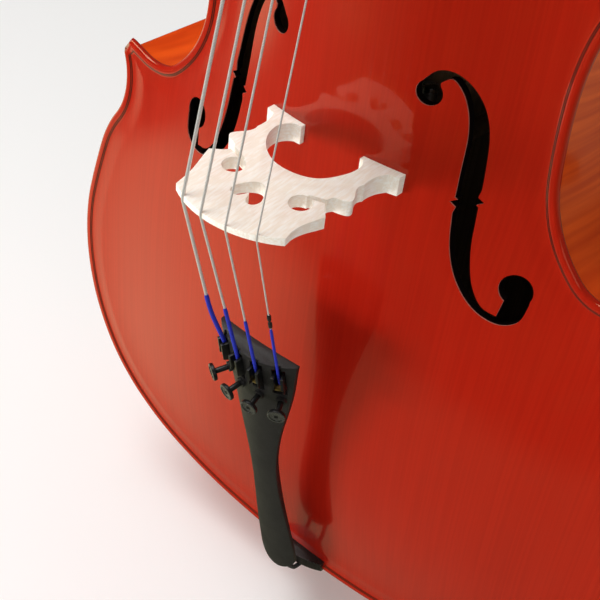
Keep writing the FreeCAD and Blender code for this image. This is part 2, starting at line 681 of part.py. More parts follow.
def half_round(width, depth, z, y=BOARD_THICK):
    """A closed half ellipse, flat side towards the fingerboard."""
    if width / 2 < depth:
        ellipse = Part.Ellipse(V(0, y + depth, z), V(width / 2, y, z), V(0, y, z))
        arc = Part.Arc(ellipse, -math.pi / 2, math.pi / 2).toShape()
    else:
        ellipse = Part.Ellipse(V(width / 2, y, z), V(0, y + depth, z), V(0, y, z))
        arc = Part.Arc(ellipse, 0, math.pi).toShape()
    ends = [vertex.Point for vertex in arc.Vertexes]
    return Part.Wire([arc, Part.LineSegment(ends[1], ends[0]).toShape()])


def heel_section(y, width, length, root):
    """A D-shaped section of the heel at one depth: flat at the root, round towards the nut."""
    half = width / 2
    shoulder = max(root + 1.0, root + length - half)
    a, b = V(-half, y, root), V(half, y, root)
    c, d, tip = V(half, y, shoulder), V(-half, y, shoulder), V(0, y, shoulder + half)
    return Part.Wire([Part.LineSegment(a, b).toShape(), Part.LineSegment(b, c).toShape(),
                      Part.Arc(c, tip, d).toShape(), Part.LineSegment(d, a).toShape()])


def make_heel():
    root = BODY_TOP - MORTISE
    top_y = front_y(BOARD_AT_JOINT)
    depth = BACK_RIB - top_y
    stations = ((0.0, HEEL_WIDTH, HEEL_LENGTH + 34), (0.13, HEEL_WIDTH, HEEL_LENGTH + 8),
                (0.28, HEEL_WIDTH - 3, HEEL_LENGTH - 14), (0.55, HEEL_WIDTH - 8, HEEL_LENGTH - 27),
                (1.0, HEEL_FOOT_WIDTH, HEEL_LENGTH - 35))
    wires = [heel_section(top_y + share * depth, width, length, root) for share, width, length in stations]
    return Part.makeLoft(wires, True, False)


def pegbox_centre(z):
    """How far the pegbox bends back from the playing line."""
    share = z / PEGBOX_LENGTH
    return 3.0 + 15.0 * share * share


def make_pegbox():
    steps = 6
    front, back = [], []
    for step in range(steps + 1):
        z = PEGBOX_LENGTH * step / steps
        depth = PEGBOX_DEPTH - 9.0 * step / steps
        front.append(V(-FAR / 4, pegbox_centre(z), z))
        back.append(V(-FAR / 4, pegbox_centre(z) + depth, z))
    edges = [curve_through(front), curve_through(back)]
    edges.append(Part.LineSegment(front[0], back[0]).toShape())
    edges.append(Part.LineSegment(front[-1], back[-1]).toShape())
    side_view = Part.Face(Part.Wire(Part.__sortEdges__(edges))).extrude(V(FAR / 2, 0, 0))
    low, high = PEGBOX_NUT_WIDTH / 2, PEGBOX_END_WIDTH / 2
    plan = [V(-low, -20, 0), V(low, -20, 0), V(high, -20, PEGBOX_LENGTH), V(-high, -20, PEGBOX_LENGTH)]
    return side_view.common(polygon_prism(plan, V(0, 120, 0)))


def make_pegbox_hollow():
    low = PEGBOX_NUT_WIDTH / 2 - PEGBOX_WALL
    high = PEGBOX_END_WIDTH / 2 - PEGBOX_WALL
    start, end = 3.0, PEGBOX_LENGTH - 8.0
    deep = PEG_AXIS_DEPTH + PEG_RADIUS
    floor = [V(0, -20, start), V(0, -20, end), V(0, pegbox_centre(end) + deep - 1.0, end),
             V(0, pegbox_centre(end / 2) + deep + 4.5, end / 2), V(0, deep + 6.5, start)]
    wedge = [V(-low, 0, start), V(low, 0, start), V(high, 0, end), V(-high, 0, end)]
    side_view = polygon_prism([point - V(low, 0, 0) for point in floor], V(2 * low, 0, 0))
    for point in wedge:
        point.y = -30
    return side_view.common(polygon_prism(wedge, V(0, 120, 0)))


def make_scroll():
    """The volute as three turns, each smaller and wider than the one around it."""
    centre_z = PEGBOX_LENGTH + SCROLL_RADIUS - 7.0
    centre_y = pegbox_centre(PEGBOX_LENGTH) + 4.0
    turns = ((SCROLL_RADIUS, PEGBOX_END_WIDTH - 2, 0.0, 0.0), (0.68 * SCROLL_RADIUS, 0.78 * SCROLL_WIDTH, 2.5, -2.5),
             (0.36 * SCROLL_RADIUS, SCROLL_WIDTH, 3.5, -4.0))
    solids = []
    for radius, width, dy, dz in turns:
        disc = Part.makeCylinder(radius, width, V(-width / 2, centre_y + dy, centre_z + dz), X_AXIS)
        rim = min(2.0, radius / 6)
        solids.append(disc.makeFillet(rim, disc.Edges))
    return solids


# From the bass side, each string's place in the row of pegs counted from the nut.
PEG_ORDER = (0, 2, 3, 1)
PEG_SIDE = (-1, -1, 1, 1)


def peg_axis(string):
    """Height along the pegbox and depth of a peg's axis, and the side its head is on."""
    z = FIRST_PEG + PEG_STEP * PEG_ORDER[string]
    return z, pegbox_centre(z) + PEG_AXIS_DEPTH, PEG_SIDE[string]


def pegbox_half_width(z):
    return (PEGBOX_NUT_WIDTH + (PEGBOX_END_WIDTH - PEGBOX_NUT_WIDTH) * z / PEGBOX_LENGTH) / 2


def peg_cone(string, extra):
    """The tapered shank, thick under the head, with its radius grown by extra."""
    z, y, side = peg_axis(string)
    reach = pegbox_half_width(z) + 3.0
    thin = PEG_RADIUS - 2 * reach * PEG_TAPER
    return Part.makeCone(PEG_RADIUS + extra, thin + extra, 2 * reach, V(side * reach, y, z), V(-side, 0, 0))


def make_peg(string):
    z, y, side = peg_axis(string)
    reach = pegbox_half_width(z) + 3.0
    out = V(side, 0, 0)
    base = V(side * reach, y, z)
    collar = Part.makeCylinder(PEG_COLLAR - 2.0, 4.0, base, out)
    collar = collar.makeFillet(1.4, collar.Edges)
    stem = Part.makeCone(PEG_RADIUS + 1.0, PEG_RADIUS - 1.5, 10.0, base + out * 3.5, out)
    head = Part.makeCylinder(PEG_HEAD_WIDTH / 2, PEG_HEAD_THICK, V(0, -PEG_HEAD_THICK / 2, 0), Y_AXIS)
    head = head.makeFillet(3.5, head.Edges)
    stretch = FreeCAD.Matrix()
    stretch.scale(V(PEG_HEAD_LENGTH / PEG_HEAD_WIDTH, 1, 1))
    head = head.transformGeometry(stretch)
    head.translate(base + out * (12.0 + PEG_HEAD_LENGTH / 2))
    return peg_cone(string, 0.0).multiFuse([collar, stem, head])


WINDING_RADIUS = PEG_RADIUS - 0.2
WINDING_TURNS = 4


def winding_x(string):
    """Where the string meets its peg, just off the pegbox's middle on the side away from the head."""
    return (-4.5, -1.5, 1.5, 4.5)[string]


def make_windings(string):
    """The turns of one string on its peg, closed up side by side."""
    name, radius = STRINGS[string]
    z, y, side = peg_axis(string)
    turns = []
    for turn in range(WINDING_TURNS):
        centre = V(winding_x(string) + side * 2 * radius * turn, y, z)
        ring = Part.makeTorus(peg_radius_at(string, centre.x) + radius * 0.9, radius, centre, X_AXIS)
        turns.append(ring)
    body = turns[0].multiFuse(turns[1:]) if len(turns) > 1 else turns[0]
    return body.cut(peg_cone(string, 0.0))


def peg_radius_at(string, x):
    z, y, side = peg_axis(string)
    reach = pegbox_half_width(z) + 3.0
    return PEG_RADIUS - (reach - side * x) * PEG_TAPER


def make_neck():
    joint = -NECK_LENGTH
    shaft = Part.makeLoft([half_round(BOARD_NUT_WIDTH - 2, SHAFT_DEPTH, -NUT_LENGTH),
                           half_round(board_half_width(joint) * 2 - 4, HEEL_DEPTH, joint - MORTISE)], True, True)
    throat = Part.makeLoft([half_round(BOARD_NUT_WIDTH - 2, SHAFT_DEPTH, -NUT_LENGTH),
                            half_round(PEGBOX_NUT_WIDTH - 4, PEGBOX_DEPTH - 12, 6.0)], True, True)
    upper = shaft.multiFuse([throat, make_pegbox()] + make_scroll()).cut(make_pegbox_hollow())
    for string in range(4):
        upper = upper.cut(peg_cone(string, RUNNING))
    above_board = Part.makeBox(200, FAR, BOARD_LENGTH, V(-100, BOARD_THICK - FAR, -BOARD_LENGTH))
    nut_space = Part.makeBox(200, 60, NUT_LENGTH, V(-100, NUT_SEAT_DEPTH - 60, -NUT_LENGTH))
    heel = make_heel().cut(in_neck(above_board))
    neck = in_neck(upper).fuse(heel)
    return neck.cut(in_neck(above_board)).cut(in_neck(nut_space))


def make_nut():
    width = BOARD_NUT_WIDTH + 1
    block = Part.makeBox(width, NUT_SEAT_DEPTH + 2, NUT_LENGTH, V(-width / 2, -2, -NUT_LENGTH))
    crown = Part.makeCylinder(BOARD_RADIUS, NUT_LENGTH, V(0, BOARD_RADIUS - 1.2, -NUT_LENGTH), Z_AXIS)
    return block.common(crown)


# ---------------------------------------------------------------- tailpiece and its fine tuners
# The tailpiece's own frame: origin on its crown at the bridge end, -Z to the saddle, -Y outward.
TAIL_FRAME = FreeCAD.Placement(V(0, front_y(TAIL_CROWN), BRIDGE_Z - TAIL_START),
                               FreeCAD.Rotation(X_AXIS, TAIL_ANGLE))


def in_tail(shape):
    placed = shape.copy()
    placed.Placement = TAIL_FRAME.multiply(placed.Placement)
    return placed


def tail_section(z, width, thick, radius):
    """A crescent: the arched top, two short sides and a flatter underside."""
    half = width / 2
    drop = radius - math.sqrt(radius ** 2 - half ** 2)
    top = Part.Arc(V(-half, drop, z), V(0, 0, z), V(half, drop, z)).toShape()
    side_y = drop + 2.2
    under = Part.Arc(V(half, side_y, z), V(0, thick, z), V(-half, side_y, z)).toShape()
    left = Part.LineSegment(V(-half, side_y, z), V(-half, drop, z)).toShape()
    right = Part.LineSegment(V(half, drop, z), V(half, side_y, z)).toShape()
    return Part.Wire([top, right, under, left])


def tuner_turn(string):
    return ((-1.5, -0.5, 0.5, 1.5)[string]) * TUNER_STEP


def in_tuner(shape, string):
    """Place a shape drawn on the crown line of the tailpiece at one string's tuner."""
    turned = shape.copy()
    swing = FreeCAD.Placement(V(0, 0, 0), FreeCAD.Rotation(Z_AXIS, tuner_turn(string)), V(0, TAIL_RADIUS, 0))
    turned.Placement = TAIL_FRAME.multiply(swing).multiply(turned.Placement)
    return turned


def tuner_point(point, string):
    swing = FreeCAD.Placement(V(0, 0, 0), FreeCAD.Rotation(Z_AXIS, tuner_turn(string)), V(0, TAIL_RADIUS, 0))
    return TAIL_FRAME.multVec(swing.multVec(point))


def tuner_direction(vector, string):
    return tuner_point(vector, string) - tuner_point(V(0, 0, 0), string)


def tuner_box(width, y_low, y_high, z_low, z_high):
    return Part.makeBox(width, y_high - y_low, z_high - z_low, V(-width / 2, y_low, z_low))


def make_tailpiece():
    stations = ((0.0, TAIL_WIDTH, TAIL_THICK, TAIL_RADIUS), (-16.0, TAIL_WIDTH - 4, TAIL_THICK, TAIL_RADIUS),
                (-40.0, TAIL_WIDTH - 13, TAIL_THICK, TAIL_RADIUS - 8),
                (-60.0, TAIL_WIDTH - 22, TAIL_THICK, TAIL_RADIUS - 12),
                (-85.0, TAIL_WAIST + 6, TAIL_THICK - 1, TAIL_RADIUS - 14),
                (-120.0, TAIL_WAIST, TAIL_THICK - 1, TAIL_RADIUS - 16),
                (-160.0, TAIL_WAIST + 3, TAIL_THICK - 1, TAIL_RADIUS - 16),
                (CORD_NUT_AT - TAIL_LENGTH, TAIL_FOOT - 2, TAIL_THICK, TAIL_RADIUS - 16),
                (-TAIL_LENGTH, TAIL_FOOT, TAIL_THICK, TAIL_RADIUS - 16))
    body = Part.makeLoft([tail_section(*station) for station in stations], True, False)
    foot_round = TAIL_FOOT / 2
    foot = Part.makeCylinder(foot_round, FAR, V(0, -FAR / 2, foot_round - TAIL_LENGTH), Y_AXIS)
    keep = foot.fuse(Part.makeBox(FAR, FAR, FAR, V(-FAR / 2, -FAR / 2, foot_round - TAIL_LENGTH)))
    body = in_tail(body.common(keep))
    pocket = tuner_box(TUNER_WIDTH + 2 * POCKET_GAP, TUNER_WALL, 40.0, -(TUNER_SCREW_AT + 5.5), -3.0)
    slot = tuner_box(TUNER_WIDTH + 2 * SEAT_GAP, -20.0, 40.0, -25.5, -3.0)
    bore = Part.makeCylinder(TUNER_SCREW_RADIUS + RUNNING, 60.0, V(0, -30.0, -TUNER_SCREW_AT), Y_AXIS)
    lip = tuner_box(FORK_GAP, -20.0, LIP_GROOVE, -4.0, 1.0)
    pin_hole = make_tuner_pin()
    for string in range(4):
        collar = Part.makeCylinder(3.2, TUNER_WALL + 1.6, V(0, -1.6, -TUNER_SCREW_AT), Y_AXIS)
        body = body.fuse(in_tuner(collar, string))
    for string in range(4):
        for tool in (pocket, slot, bore, lip, pin_hole):
            body = body.cut(in_tuner(tool, string))
    for side in (1, -1):
        start = V(side * CORD_SPREAD / 2, TAIL_THICK - CORD_BORE_DEPTH, CORD_NUT_AT - TAIL_LENGTH)
        bore = Part.makeCylinder(CORD_RADIUS + RUNNING, 60.0, start, V(0, 0, -1))
        half = CORD_NUT_RADIUS + SEAT_GAP
        seat = Part.makeBox(2 * half, 20.0, CORD_NUT_LENGTH + 2.0, start + V(-half, -half, 0))
        body = body.cut(in_tail(bore)).cut(in_tail(seat))
    return biggest(body)


def make_tuner_lever():
    """A fork that holds the string's ball, and the long arm that the screw pushes."""
    outline = [V(0, -4.2, -6.0), V(0, -4.2, -19.0), V(0, -1.0, -20.5), V(0, 5.0, -21.0), V(0, 8.4, -24.0),
               V(0, 8.8, -34.5), V(0, 11.4, -34.5), V(0, 11.4, -10.0), V(0, 5.0, -7.0)]
    half = TUNER_WIDTH / 2
    lever = polygon_prism([point - V(half, 0, 0) for point in outline], V(TUNER_WIDTH, 0, 0))
    groove = tuner_box(FORK_GAP, -10.0, FORK_GROOVE, -19.5, 0.0)
    ball_seat = tuner_box(BALL_LENGTH + 0.4, -10.0, BALL_DEPTH + BALL_RADIUS, -30.0, BALL_RADIUS - BALL_AT + 0.2)
    eye = Part.makeCylinder(PIN_RADIUS + RUNNING, TUNER_WIDTH + 2, V(-half - 1, TUNER_PIVOT_DEPTH, -TUNER_PIVOT), X_AXIS)
    return lever.cut(groove).cut(ball_seat).cut(eye)


def make_tuner_screw():
    tip = TUNER_ARM_TOP - 2 * SEAT_GAP
    shank = Part.makeCylinder(TUNER_SCREW_RADIUS, tip + TUNER_KNOB_HEIGHT - 3.0,
                              V(0, 3.0 - TUNER_KNOB_HEIGHT, -TUNER_SCREW_AT), Y_AXIS)
    neck = Part.makeCylinder(1.2, 2.4, V(0, 0.6 - TUNER_KNOB_HEIGHT, -TUNER_SCREW_AT), Y_AXIS)
    return shank.fuse(neck)


def make_tuner_knob():
    disc = Part.makeCylinder(TUNER_KNOB_RADIUS, 2.4, V(0, -TUNER_KNOB_HEIGHT, -TUNER_SCREW_AT), Y_AXIS)
    disc = disc.makeFillet(0.7, disc.Edges)
    dish = Part.makeCylinder(TUNER_KNOB_RADIUS - 1.6, 0.4, V(0, -TUNER_KNOB_HEIGHT, -TUNER_SCREW_AT), Y_AXIS)
    bore = Part.makeCylinder(1.2 + RUNNING, 5.0, V(0, 0.6 - SEAT_GAP - TUNER_KNOB_HEIGHT, -TUNER_SCREW_AT), Y_AXIS)
    return disc.cut(dish).cut(bore)


def make_tuner_pin():
    return Part.makeCylinder(PIN_RADIUS, PIN_LENGTH, V(-PIN_LENGTH / 2, TUNER_PIVOT_DEPTH, -TUNER_PIVOT), X_AXIS)


def make_ball():
    return Part.makeCylinder(BALL_RADIUS, BALL_LENGTH, V(-BALL_LENGTH / 2, BALL_DEPTH, -BALL_AT), X_AXIS)


# ---------------------------------------------------------------- cords and strings
def tube(points, radii, radius, hole=0.0):
    """A round cord: straight runs joined by tangent arcs of the given radii at the inner points."""
    solids = []
    start = points[0]
    for index in range(1, len(points)):
        corner = points[index]
        run = (corner - points[index - 1]).normalize()
        if index == len(points) - 1:
            solids.append(rod_between(start, corner, radius, hole))
            break
        after = (points[index + 1] - corner).normalize()
        turn = run.getAngle(after)
        cut_back = radii[index - 1] * math.tan(turn / 2)
        arc_start = corner - run * cut_back
        solids.append(rod_between(start, arc_start, radius, hole))
        axis = run.cross(after).normalize()
        centre = arc_start + axis.cross(run) * radii[index - 1]
        disc = Part.Face(Part.Wire([Part.makeCircle(radius, arc_start, run)]))
        if hole:
            disc = disc.cut(Part.Face(Part.Wire([Part.makeCircle(hole, arc_start, run)])))
        solids.append(disc.revolve(centre, axis, math.degrees(turn)))
        start = corner + after * cut_back
    whole = solids[0].multiFuse(solids[1:]) if len(solids) > 1 else solids[0]
    return biggest(whole)


def rod_between(start, end, radius, hole=0.0):
    rod = Part.makeCylinder(radius, (end - start).Length, start, end - start)
    if hole:
        rod = rod.cut(Part.makeCylinder(hole, (end - start).Length, start, end - start))
    return rod


def string_x(index, spread):
    return (-0.5, -1.0 / 6, 1.0 / 6, 0.5)[index] * spread


def string_points(index):
    """Tail end at the ball, bridge crown, nut, and where the string meets its peg."""
    radius = STRINGS[index][1]
    tail = tuner_point(V(0, BALL_DEPTH, BALL_RADIUS - BALL_AT + SEAT_GAP), index)
    x = string_x(index, STRING_SPREAD)
    crown = bridge_point(x, crown_height(x) + 0.35 * radius)
    crown.z = BRIDGE_Z - FOOT_THICK / 2 + CROWN_THICK / 2
    nut_x = string_x(index, NUT_SPREAD)
    drop = BOARD_RADIUS - math.sqrt(BOARD_RADIUS ** 2 - nut_x ** 2)
    nut = neck_to_body(V(nut_x, drop - 1.3 - 0.3 * radius, -NUT_LENGTH / 2))
    z, y, side = peg_axis(index)
    peg_x = winding_x(index)
    surface = peg_radius_at(index, peg_x) + 1.9 * radius
    peg = neck_to_body(V(peg_x, y - surface - radius - SEAT_GAP, z))
    return tail, crown, nut, peg


def string_route(index):
    tail, crown, nut, peg = string_points(index)
    if STRINGS[index][0] == "c":
        bow = tail + (crown - tail) * 0.3 + V(-0.8, -3.6, 0)
        return [tail, bow, crown, nut, peg], [SILK_BEND, BRIDGE_BEND, NUT_BEND]
    return [tail, crown, nut, peg], [BRIDGE_BEND, NUT_BEND]


def make_silk(index):
    """The thread wrapping at the tail end of a string."""
    points, radii = string_route(index)
    radius = STRINGS[index][1]
    if len(points) == 5:
        end = points[1] + (points[2] - points[1]).normalize() * (SILK_LENGTH - (points[1] - points[0]).Length)
        return tube([points[0], points[1], end], radii[:1], radius + SILK_WALL, radius)
    end = points[0] + (points[1] - points[0]).normalize() * SILK_LENGTH
    return tube([points[0], end], [], radius + SILK_WALL, radius)


def make_string_tube():
    points, radii = string_route(3)
    radius = STRINGS[3][1]
    along = (points[1] - points[0]).normalize()
    start = points[0] + along * (SILK_LENGTH + SEAT_GAP)
    return rod_between(start, start + along * TUBE_LENGTH, radius + RUNNING + TUBE_WALL, radius + RUNNING)


def cord_point(side, z):
    """A point of the tail cord inside the tailpiece, at a place along the tailpiece."""
    return TAIL_FRAME.multVec(V(side * CORD_SPREAD / 2, TAIL_THICK - CORD_BORE_DEPTH, z))


def make_tail_cord(extra=0.0):
    """From one nut over the saddle, round the collar's groove and back to the other nut."""
    below = BODY_BOTTOM - CORD_RADIUS - SEAT_GAP
    ring = COLLAR_NECK + CORD_RADIUS
    points = []
    for side in (1, -1):
        over_y = front_y(SADDLE_HEIGHT + CORD_RADIUS)
        run = [cord_point(side, CORD_NUT_AT - TAIL_LENGTH), cord_point(side, -TAIL_LENGTH - 2.0),
               V(side * CORD_SPREAD / 2, over_y, below), V(side * ring, 0, below), V(side * ring, ring + 4.0, below)]
        points = run + points if side == 1 else points + run[::-1]
    bends = [20.0, 5.0, 30.0, ring - 2.0, ring - 2.0, 30.0, 5.0, 20.0]
    return tube(points, bends, CORD_RADIUS + extra)


def make_cord_nuts():
    along = TAIL_FRAME.Rotation.multVec(Z_AXIS)
    nuts = []
    for side in (1, -1):
        nut = Part.makeCylinder(CORD_NUT_RADIUS, CORD_NUT_LENGTH, cord_point(side, CORD_NUT_AT - TAIL_LENGTH), along)
        nuts.append(nut)
    return nuts


# ---------------------------------------------------------------- saddle and endpin
def make_saddle():
    rear, front = FRONT_RIB, front_y(SADDLE_HEIGHT)
    low = BODY_BOTTOM
    block = Part.makeBox(SADDLE_WIDTH, rear - front, SADDLE_DEPTH, V(-SADDLE_WIDTH / 2, front, low))
    crown = Part.makeCylinder(SADDLE_WIDTH, SADDLE_DEPTH, V(0, front + SADDLE_WIDTH, low), Z_AXIS)
    saddle = block.common(crown)
    front_edges = [edge for edge in saddle.Edges if edge.BoundBox.YMin < front + 1 and edge.BoundBox.ZMax < low + 1
                   and edge.BoundBox.XLength > SADDLE_WIDTH / 2]
    return saddle.makeFillet(3.0, front_edges)


def make_endpin():
    down = V(0, 0, -1)
    rod = Part.makeCylinder(ROD_RADIUS, ROD_LENGTH, V(0, 0, TIP_LENGTH * 0.4), Z_AXIS)
    tip = Part.makeCone(TIP_RADIUS - 2.5, TIP_RADIUS, TIP_LENGTH * 0.6, V(0, 0, 0), Z_AXIS)
    upper = Part.makeCone(TIP_RADIUS, TIP_RADIUS - 2, TIP_LENGTH * 0.4, V(0, 0, TIP_LENGTH * 0.6), Z_AXIS)
    tip = tip.fuse(upper).cut(rod)
    block_top = BODY_BOTTOM + OVERHANG + BOTTOM_BLOCK_DEPTH
    flange = Part.makeCylinder(COLLAR_RADIUS, COLLAR_LENGTH, V(0, 0, COLLAR_BOTTOM), Z_AXIS)
    flange = flange.makeFillet(2.0, [edge for edge in flange.Edges if edge.BoundBox.ZMax < COLLAR_BOTTOM + 1])
    groove = Part.makeTorus(COLLAR_NECK + CORD_RADIUS, CORD_RADIUS + 2 * RUNNING,
                            V(0, 0, BODY_BOTTOM - CORD_RADIUS - SEAT_GAP),
                            Z_AXIS)
    plug = Part.makeCone(PLUG_RADIUS, PLUG_RADIUS - 1.5, block_top + 3.0 - (BODY_BOTTOM + OVERHANG),
                         V(0, 0, BODY_BOTTOM + OVERHANG), Z_AXIS)
    ferrule_seat = Part.makeCylinder(FERRULE_RADIUS - 2.0, 12.0, V(0, 0, COLLAR_BOTTOM), Z_AXIS)
    passage = Part.makeCylinder(ROD_RADIUS + 0.5, FAR, V(0, 0, COLLAR_BOTTOM), Z_AXIS)
    collar = flange.fuse(plug).cut(passage).cut(ferrule_seat)
    ferrule = Part.makeCylinder(FERRULE_RADIUS, FERRULE_LENGTH, V(0, 0, FERRULE_BOTTOM), Z_AXIS)
    ferrule = ferrule.makeFillet(1.0, [edge for edge in ferrule.Edges if edge.BoundBox.ZMax < FERRULE_BOTTOM + 1])
    ferrule = ferrule.fuse(ferrule_seat)
    ferrule = ferrule.cut(Part.makeCylinder(ROD_RADIUS + RUNNING, FAR, V(0, 0, 0), Z_AXIS))
    clamp_z = FERRULE_BOTTOM + FERRULE_LENGTH / 2
    boss = Part.makeCylinder(CLAMP_RADIUS + 2.5, 5.0, V(FERRULE_RADIUS - 2.0, 0, clamp_z), X_AXIS)
    ferrule = ferrule.fuse(boss.cut(Part.makeCylinder(ROD_RADIUS + 3, FAR, V(0, 0, 0), Z_AXIS)))
    hole = Part.makeCylinder(CLAMP_RADIUS + RUNNING, 40.0, V(0, 0, clamp_z), X_AXIS)
    ferrule = ferrule.cut(hole)
    start = ROD_RADIUS + SEAT_GAP
    shank = Part.makeCylinder(CLAMP_RADIUS, CLAMP_LENGTH, V(start, 0, clamp_z), X_AXIS)
    shank = shank.fuse(Part.makeCylinder(CLAMP_RADIUS - 1.0, 6.0, V(start + CLAMP_LENGTH, 0, clamp_z), X_AXIS))
    knob = Part.makeCylinder(CLAMP_KNOB_RADIUS, 8.0, V(start + CLAMP_LENGTH + SEAT_GAP, 0, clamp_z), X_AXIS)
    knob = knob.makeFillet(1.2, knob.Edges)
    for step in range(8):
        angle = 2 * math.pi * step / 8
        flute = Part.makeCylinder(1.4, 12.0, V(start + CLAMP_LENGTH - 1, (CLAMP_KNOB_RADIUS + 0.4) * math.cos(angle),
                                               clamp_z + (CLAMP_KNOB_RADIUS + 0.4) * math.sin(angle)), X_AXIS)
        knob = knob.cut(flute)
    knob = knob.cut(Part.makeCylinder(CLAMP_RADIUS - 1.0 + RUNNING, 6.0 + SEAT_GAP,
                                      V(start + CLAMP_LENGTH, 0, clamp_z), X_AXIS))
    return {"endpin_rod": rod, "endpin_tip": tip, "endpin_collar": collar.cut(groove), "endpin_ferrule": ferrule,
            "clamp_screw": shank, "clamp_knob": knob}, plug.fuse(passage)


# ---------------------------------------------------------------- the whole instrument
def string_space(index, extra):
    points, radii = string_route(index)
    return tube(points, radii, STRINGS[index][1] + extra)


def build():
    parts = {}
    top, back, purfling = make_plates()
    ribs = make_ribs()
    bottom_block, top_block, corners = make_blocks()
    neck = biggest(make_neck())
    saddle = make_saddle()
    endpin, plug_space = make_endpin()
    saddle_space = Part.makeBox(SADDLE_WIDTH, EDGE + 20, SADDLE_DEPTH,
                                V(-SADDLE_WIDTH / 2, FRONT - 20, BODY_BOTTOM))
    parts["top_plate"] = biggest(top.cut(neck).cut(saddle_space))
    parts["back_plate"] = back
    parts["purfling"] = purfling.cut(neck).cut(saddle_space)
    for name, rib in ribs.items():
        parts[name] = biggest(rib.cut(neck) if "upper" in name else rib.cut(plug_space))
    parts["bottom_block"] = biggest(bottom_block.cut(plug_space))
    parts["top_block"] = biggest(top_block.cut(neck))
    parts["corner_blocks"] = corners
    parts["linings"] = make_linings([bottom_block, top_block] + corners)
    parts["bass_bar"] = make_bass_bar()
    parts["sound_post"] = make_sound_post()
    parts["neck"] = neck
    parts["fingerboard"] = in_neck(make_fingerboard())
    parts["saddle"] = saddle
    parts["tail_cord"] = make_tail_cord()
    parts["tail_cord_nuts"] = make_cord_nuts()
    endpin["endpin_collar"] = biggest(endpin["endpin_collar"].cut(make_tail_cord(RUNNING)))
    parts.update(endpin)
    parts["tailpiece"] = make_tailpiece()
    parts["tuner_pins"] = [in_tuner(make_tuner_pin(), index) for index in range(4)]
    parts["string_silk"] = [make_silk(index) for index in range(4)]
    parts["string_tube"] = make_string_tube()
    bridge, nut = make_bridge(), in_neck(make_nut())
    for index, (name, radius) in enumerate(STRINGS):
        points, radii = string_route(index)
        string = tube(points, radii, radius)
        bridge = bridge.cut(string)
        nut = nut.cut(string)
        parts["string_" + name] = string
        parts["string_ball_" + name] = in_tuner(make_ball(), index)
        parts["tuner_lever_" + name] = in_tuner(make_tuner_lever(), index)
        parts["tuner_screw_" + name] = in_tuner(make_tuner_screw(), index)
        parts["tuner_knob_" + name] = in_tuner(make_tuner_knob(), index)
        parts["peg_" + name] = in_neck(make_peg(index))
        parts["peg_windings_" + name] = in_neck(make_windings(index))
    parts["bridge"] = biggest(bridge)
    parts["nut"] = biggest(nut)
    return parts


def main():
    os.makedirs("parts", exist_ok=True)
    for node, shape in build().items():
        whole = shape if isinstance(shape, Part.Shape) else Part.makeCompound(shape)
        whole.exportStep("parts/%s.step" % node)


if __name__ == "__main__":
    main()
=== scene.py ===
import math
import random

import bmesh
import bpy
import numpy as np
from mathutils import Matrix, Vector, geometry


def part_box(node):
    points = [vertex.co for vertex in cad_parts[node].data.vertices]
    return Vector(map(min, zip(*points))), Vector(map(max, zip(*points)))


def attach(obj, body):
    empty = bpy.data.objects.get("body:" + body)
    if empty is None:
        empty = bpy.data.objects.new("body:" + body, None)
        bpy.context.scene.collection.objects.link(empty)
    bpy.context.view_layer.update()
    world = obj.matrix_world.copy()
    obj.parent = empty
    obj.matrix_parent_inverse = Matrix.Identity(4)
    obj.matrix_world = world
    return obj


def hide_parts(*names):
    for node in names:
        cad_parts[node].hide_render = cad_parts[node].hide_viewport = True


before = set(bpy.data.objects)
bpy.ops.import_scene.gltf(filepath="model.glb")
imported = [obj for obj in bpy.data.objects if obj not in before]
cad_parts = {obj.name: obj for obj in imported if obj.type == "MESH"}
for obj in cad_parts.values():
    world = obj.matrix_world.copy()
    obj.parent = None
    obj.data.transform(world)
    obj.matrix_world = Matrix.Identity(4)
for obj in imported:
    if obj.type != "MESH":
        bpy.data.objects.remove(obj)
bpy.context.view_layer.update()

# ---- Camera, floor and light -------------------------------------------------------------------
# The cello stands on its endpin on a pale sweep.  The camera looks down over the treble edge of
# the front.  Two large soft lamps, above and to the right, are mirrored in the varnish.  A low lamp
# that the varnish doesn't mirror throws the tailpiece's shadow.  A painted reflection glows on the
# floor: a pale patch on its left that only glossy rays see, so the varnish mirrors a bright card.
scene = bpy.context.scene
scene.view_settings.view_transform = "Standard"
lens = bpy.data.cameras.new("camera")
lens.lens = 70.57
lens.sensor_width = 36.0
lens.clip_start = 0.01
lens.clip_end = 50.0
camera = bpy.data.objects.new("camera", lens)
look = Vector((-0.461, 0.6244, -0.6306)).normalized()
across = Vector((0.7513, 0.6528, 0.0971)).normalized()
above = across.cross(look).normalized()
turn = Matrix((across, above, -look)).transposed().to_4x4()
camera.matrix_world = Matrix.Translation((0.3096, -0.5174, 0.7298)) @ turn
scene.collection.objects.link(camera)
scene.camera = camera


def surface(name, colour=(0.8, 0.8, 0.8), rough=0.5, **inputs):
    """A new material and its Principled shader, with plain values on the shader's own sockets."""
    material = bpy.data.materials.new(name)
    material.use_nodes = True
    shader = material.node_tree.nodes["Principled BSDF"]
    shader.inputs["Base Color"].default_value = (*colour, 1.0)
    shader.inputs["Roughness"].default_value = rough
    for socket, value in inputs.items():
        shader.inputs[socket.replace("_", " ")].default_value = value
    return material, shader


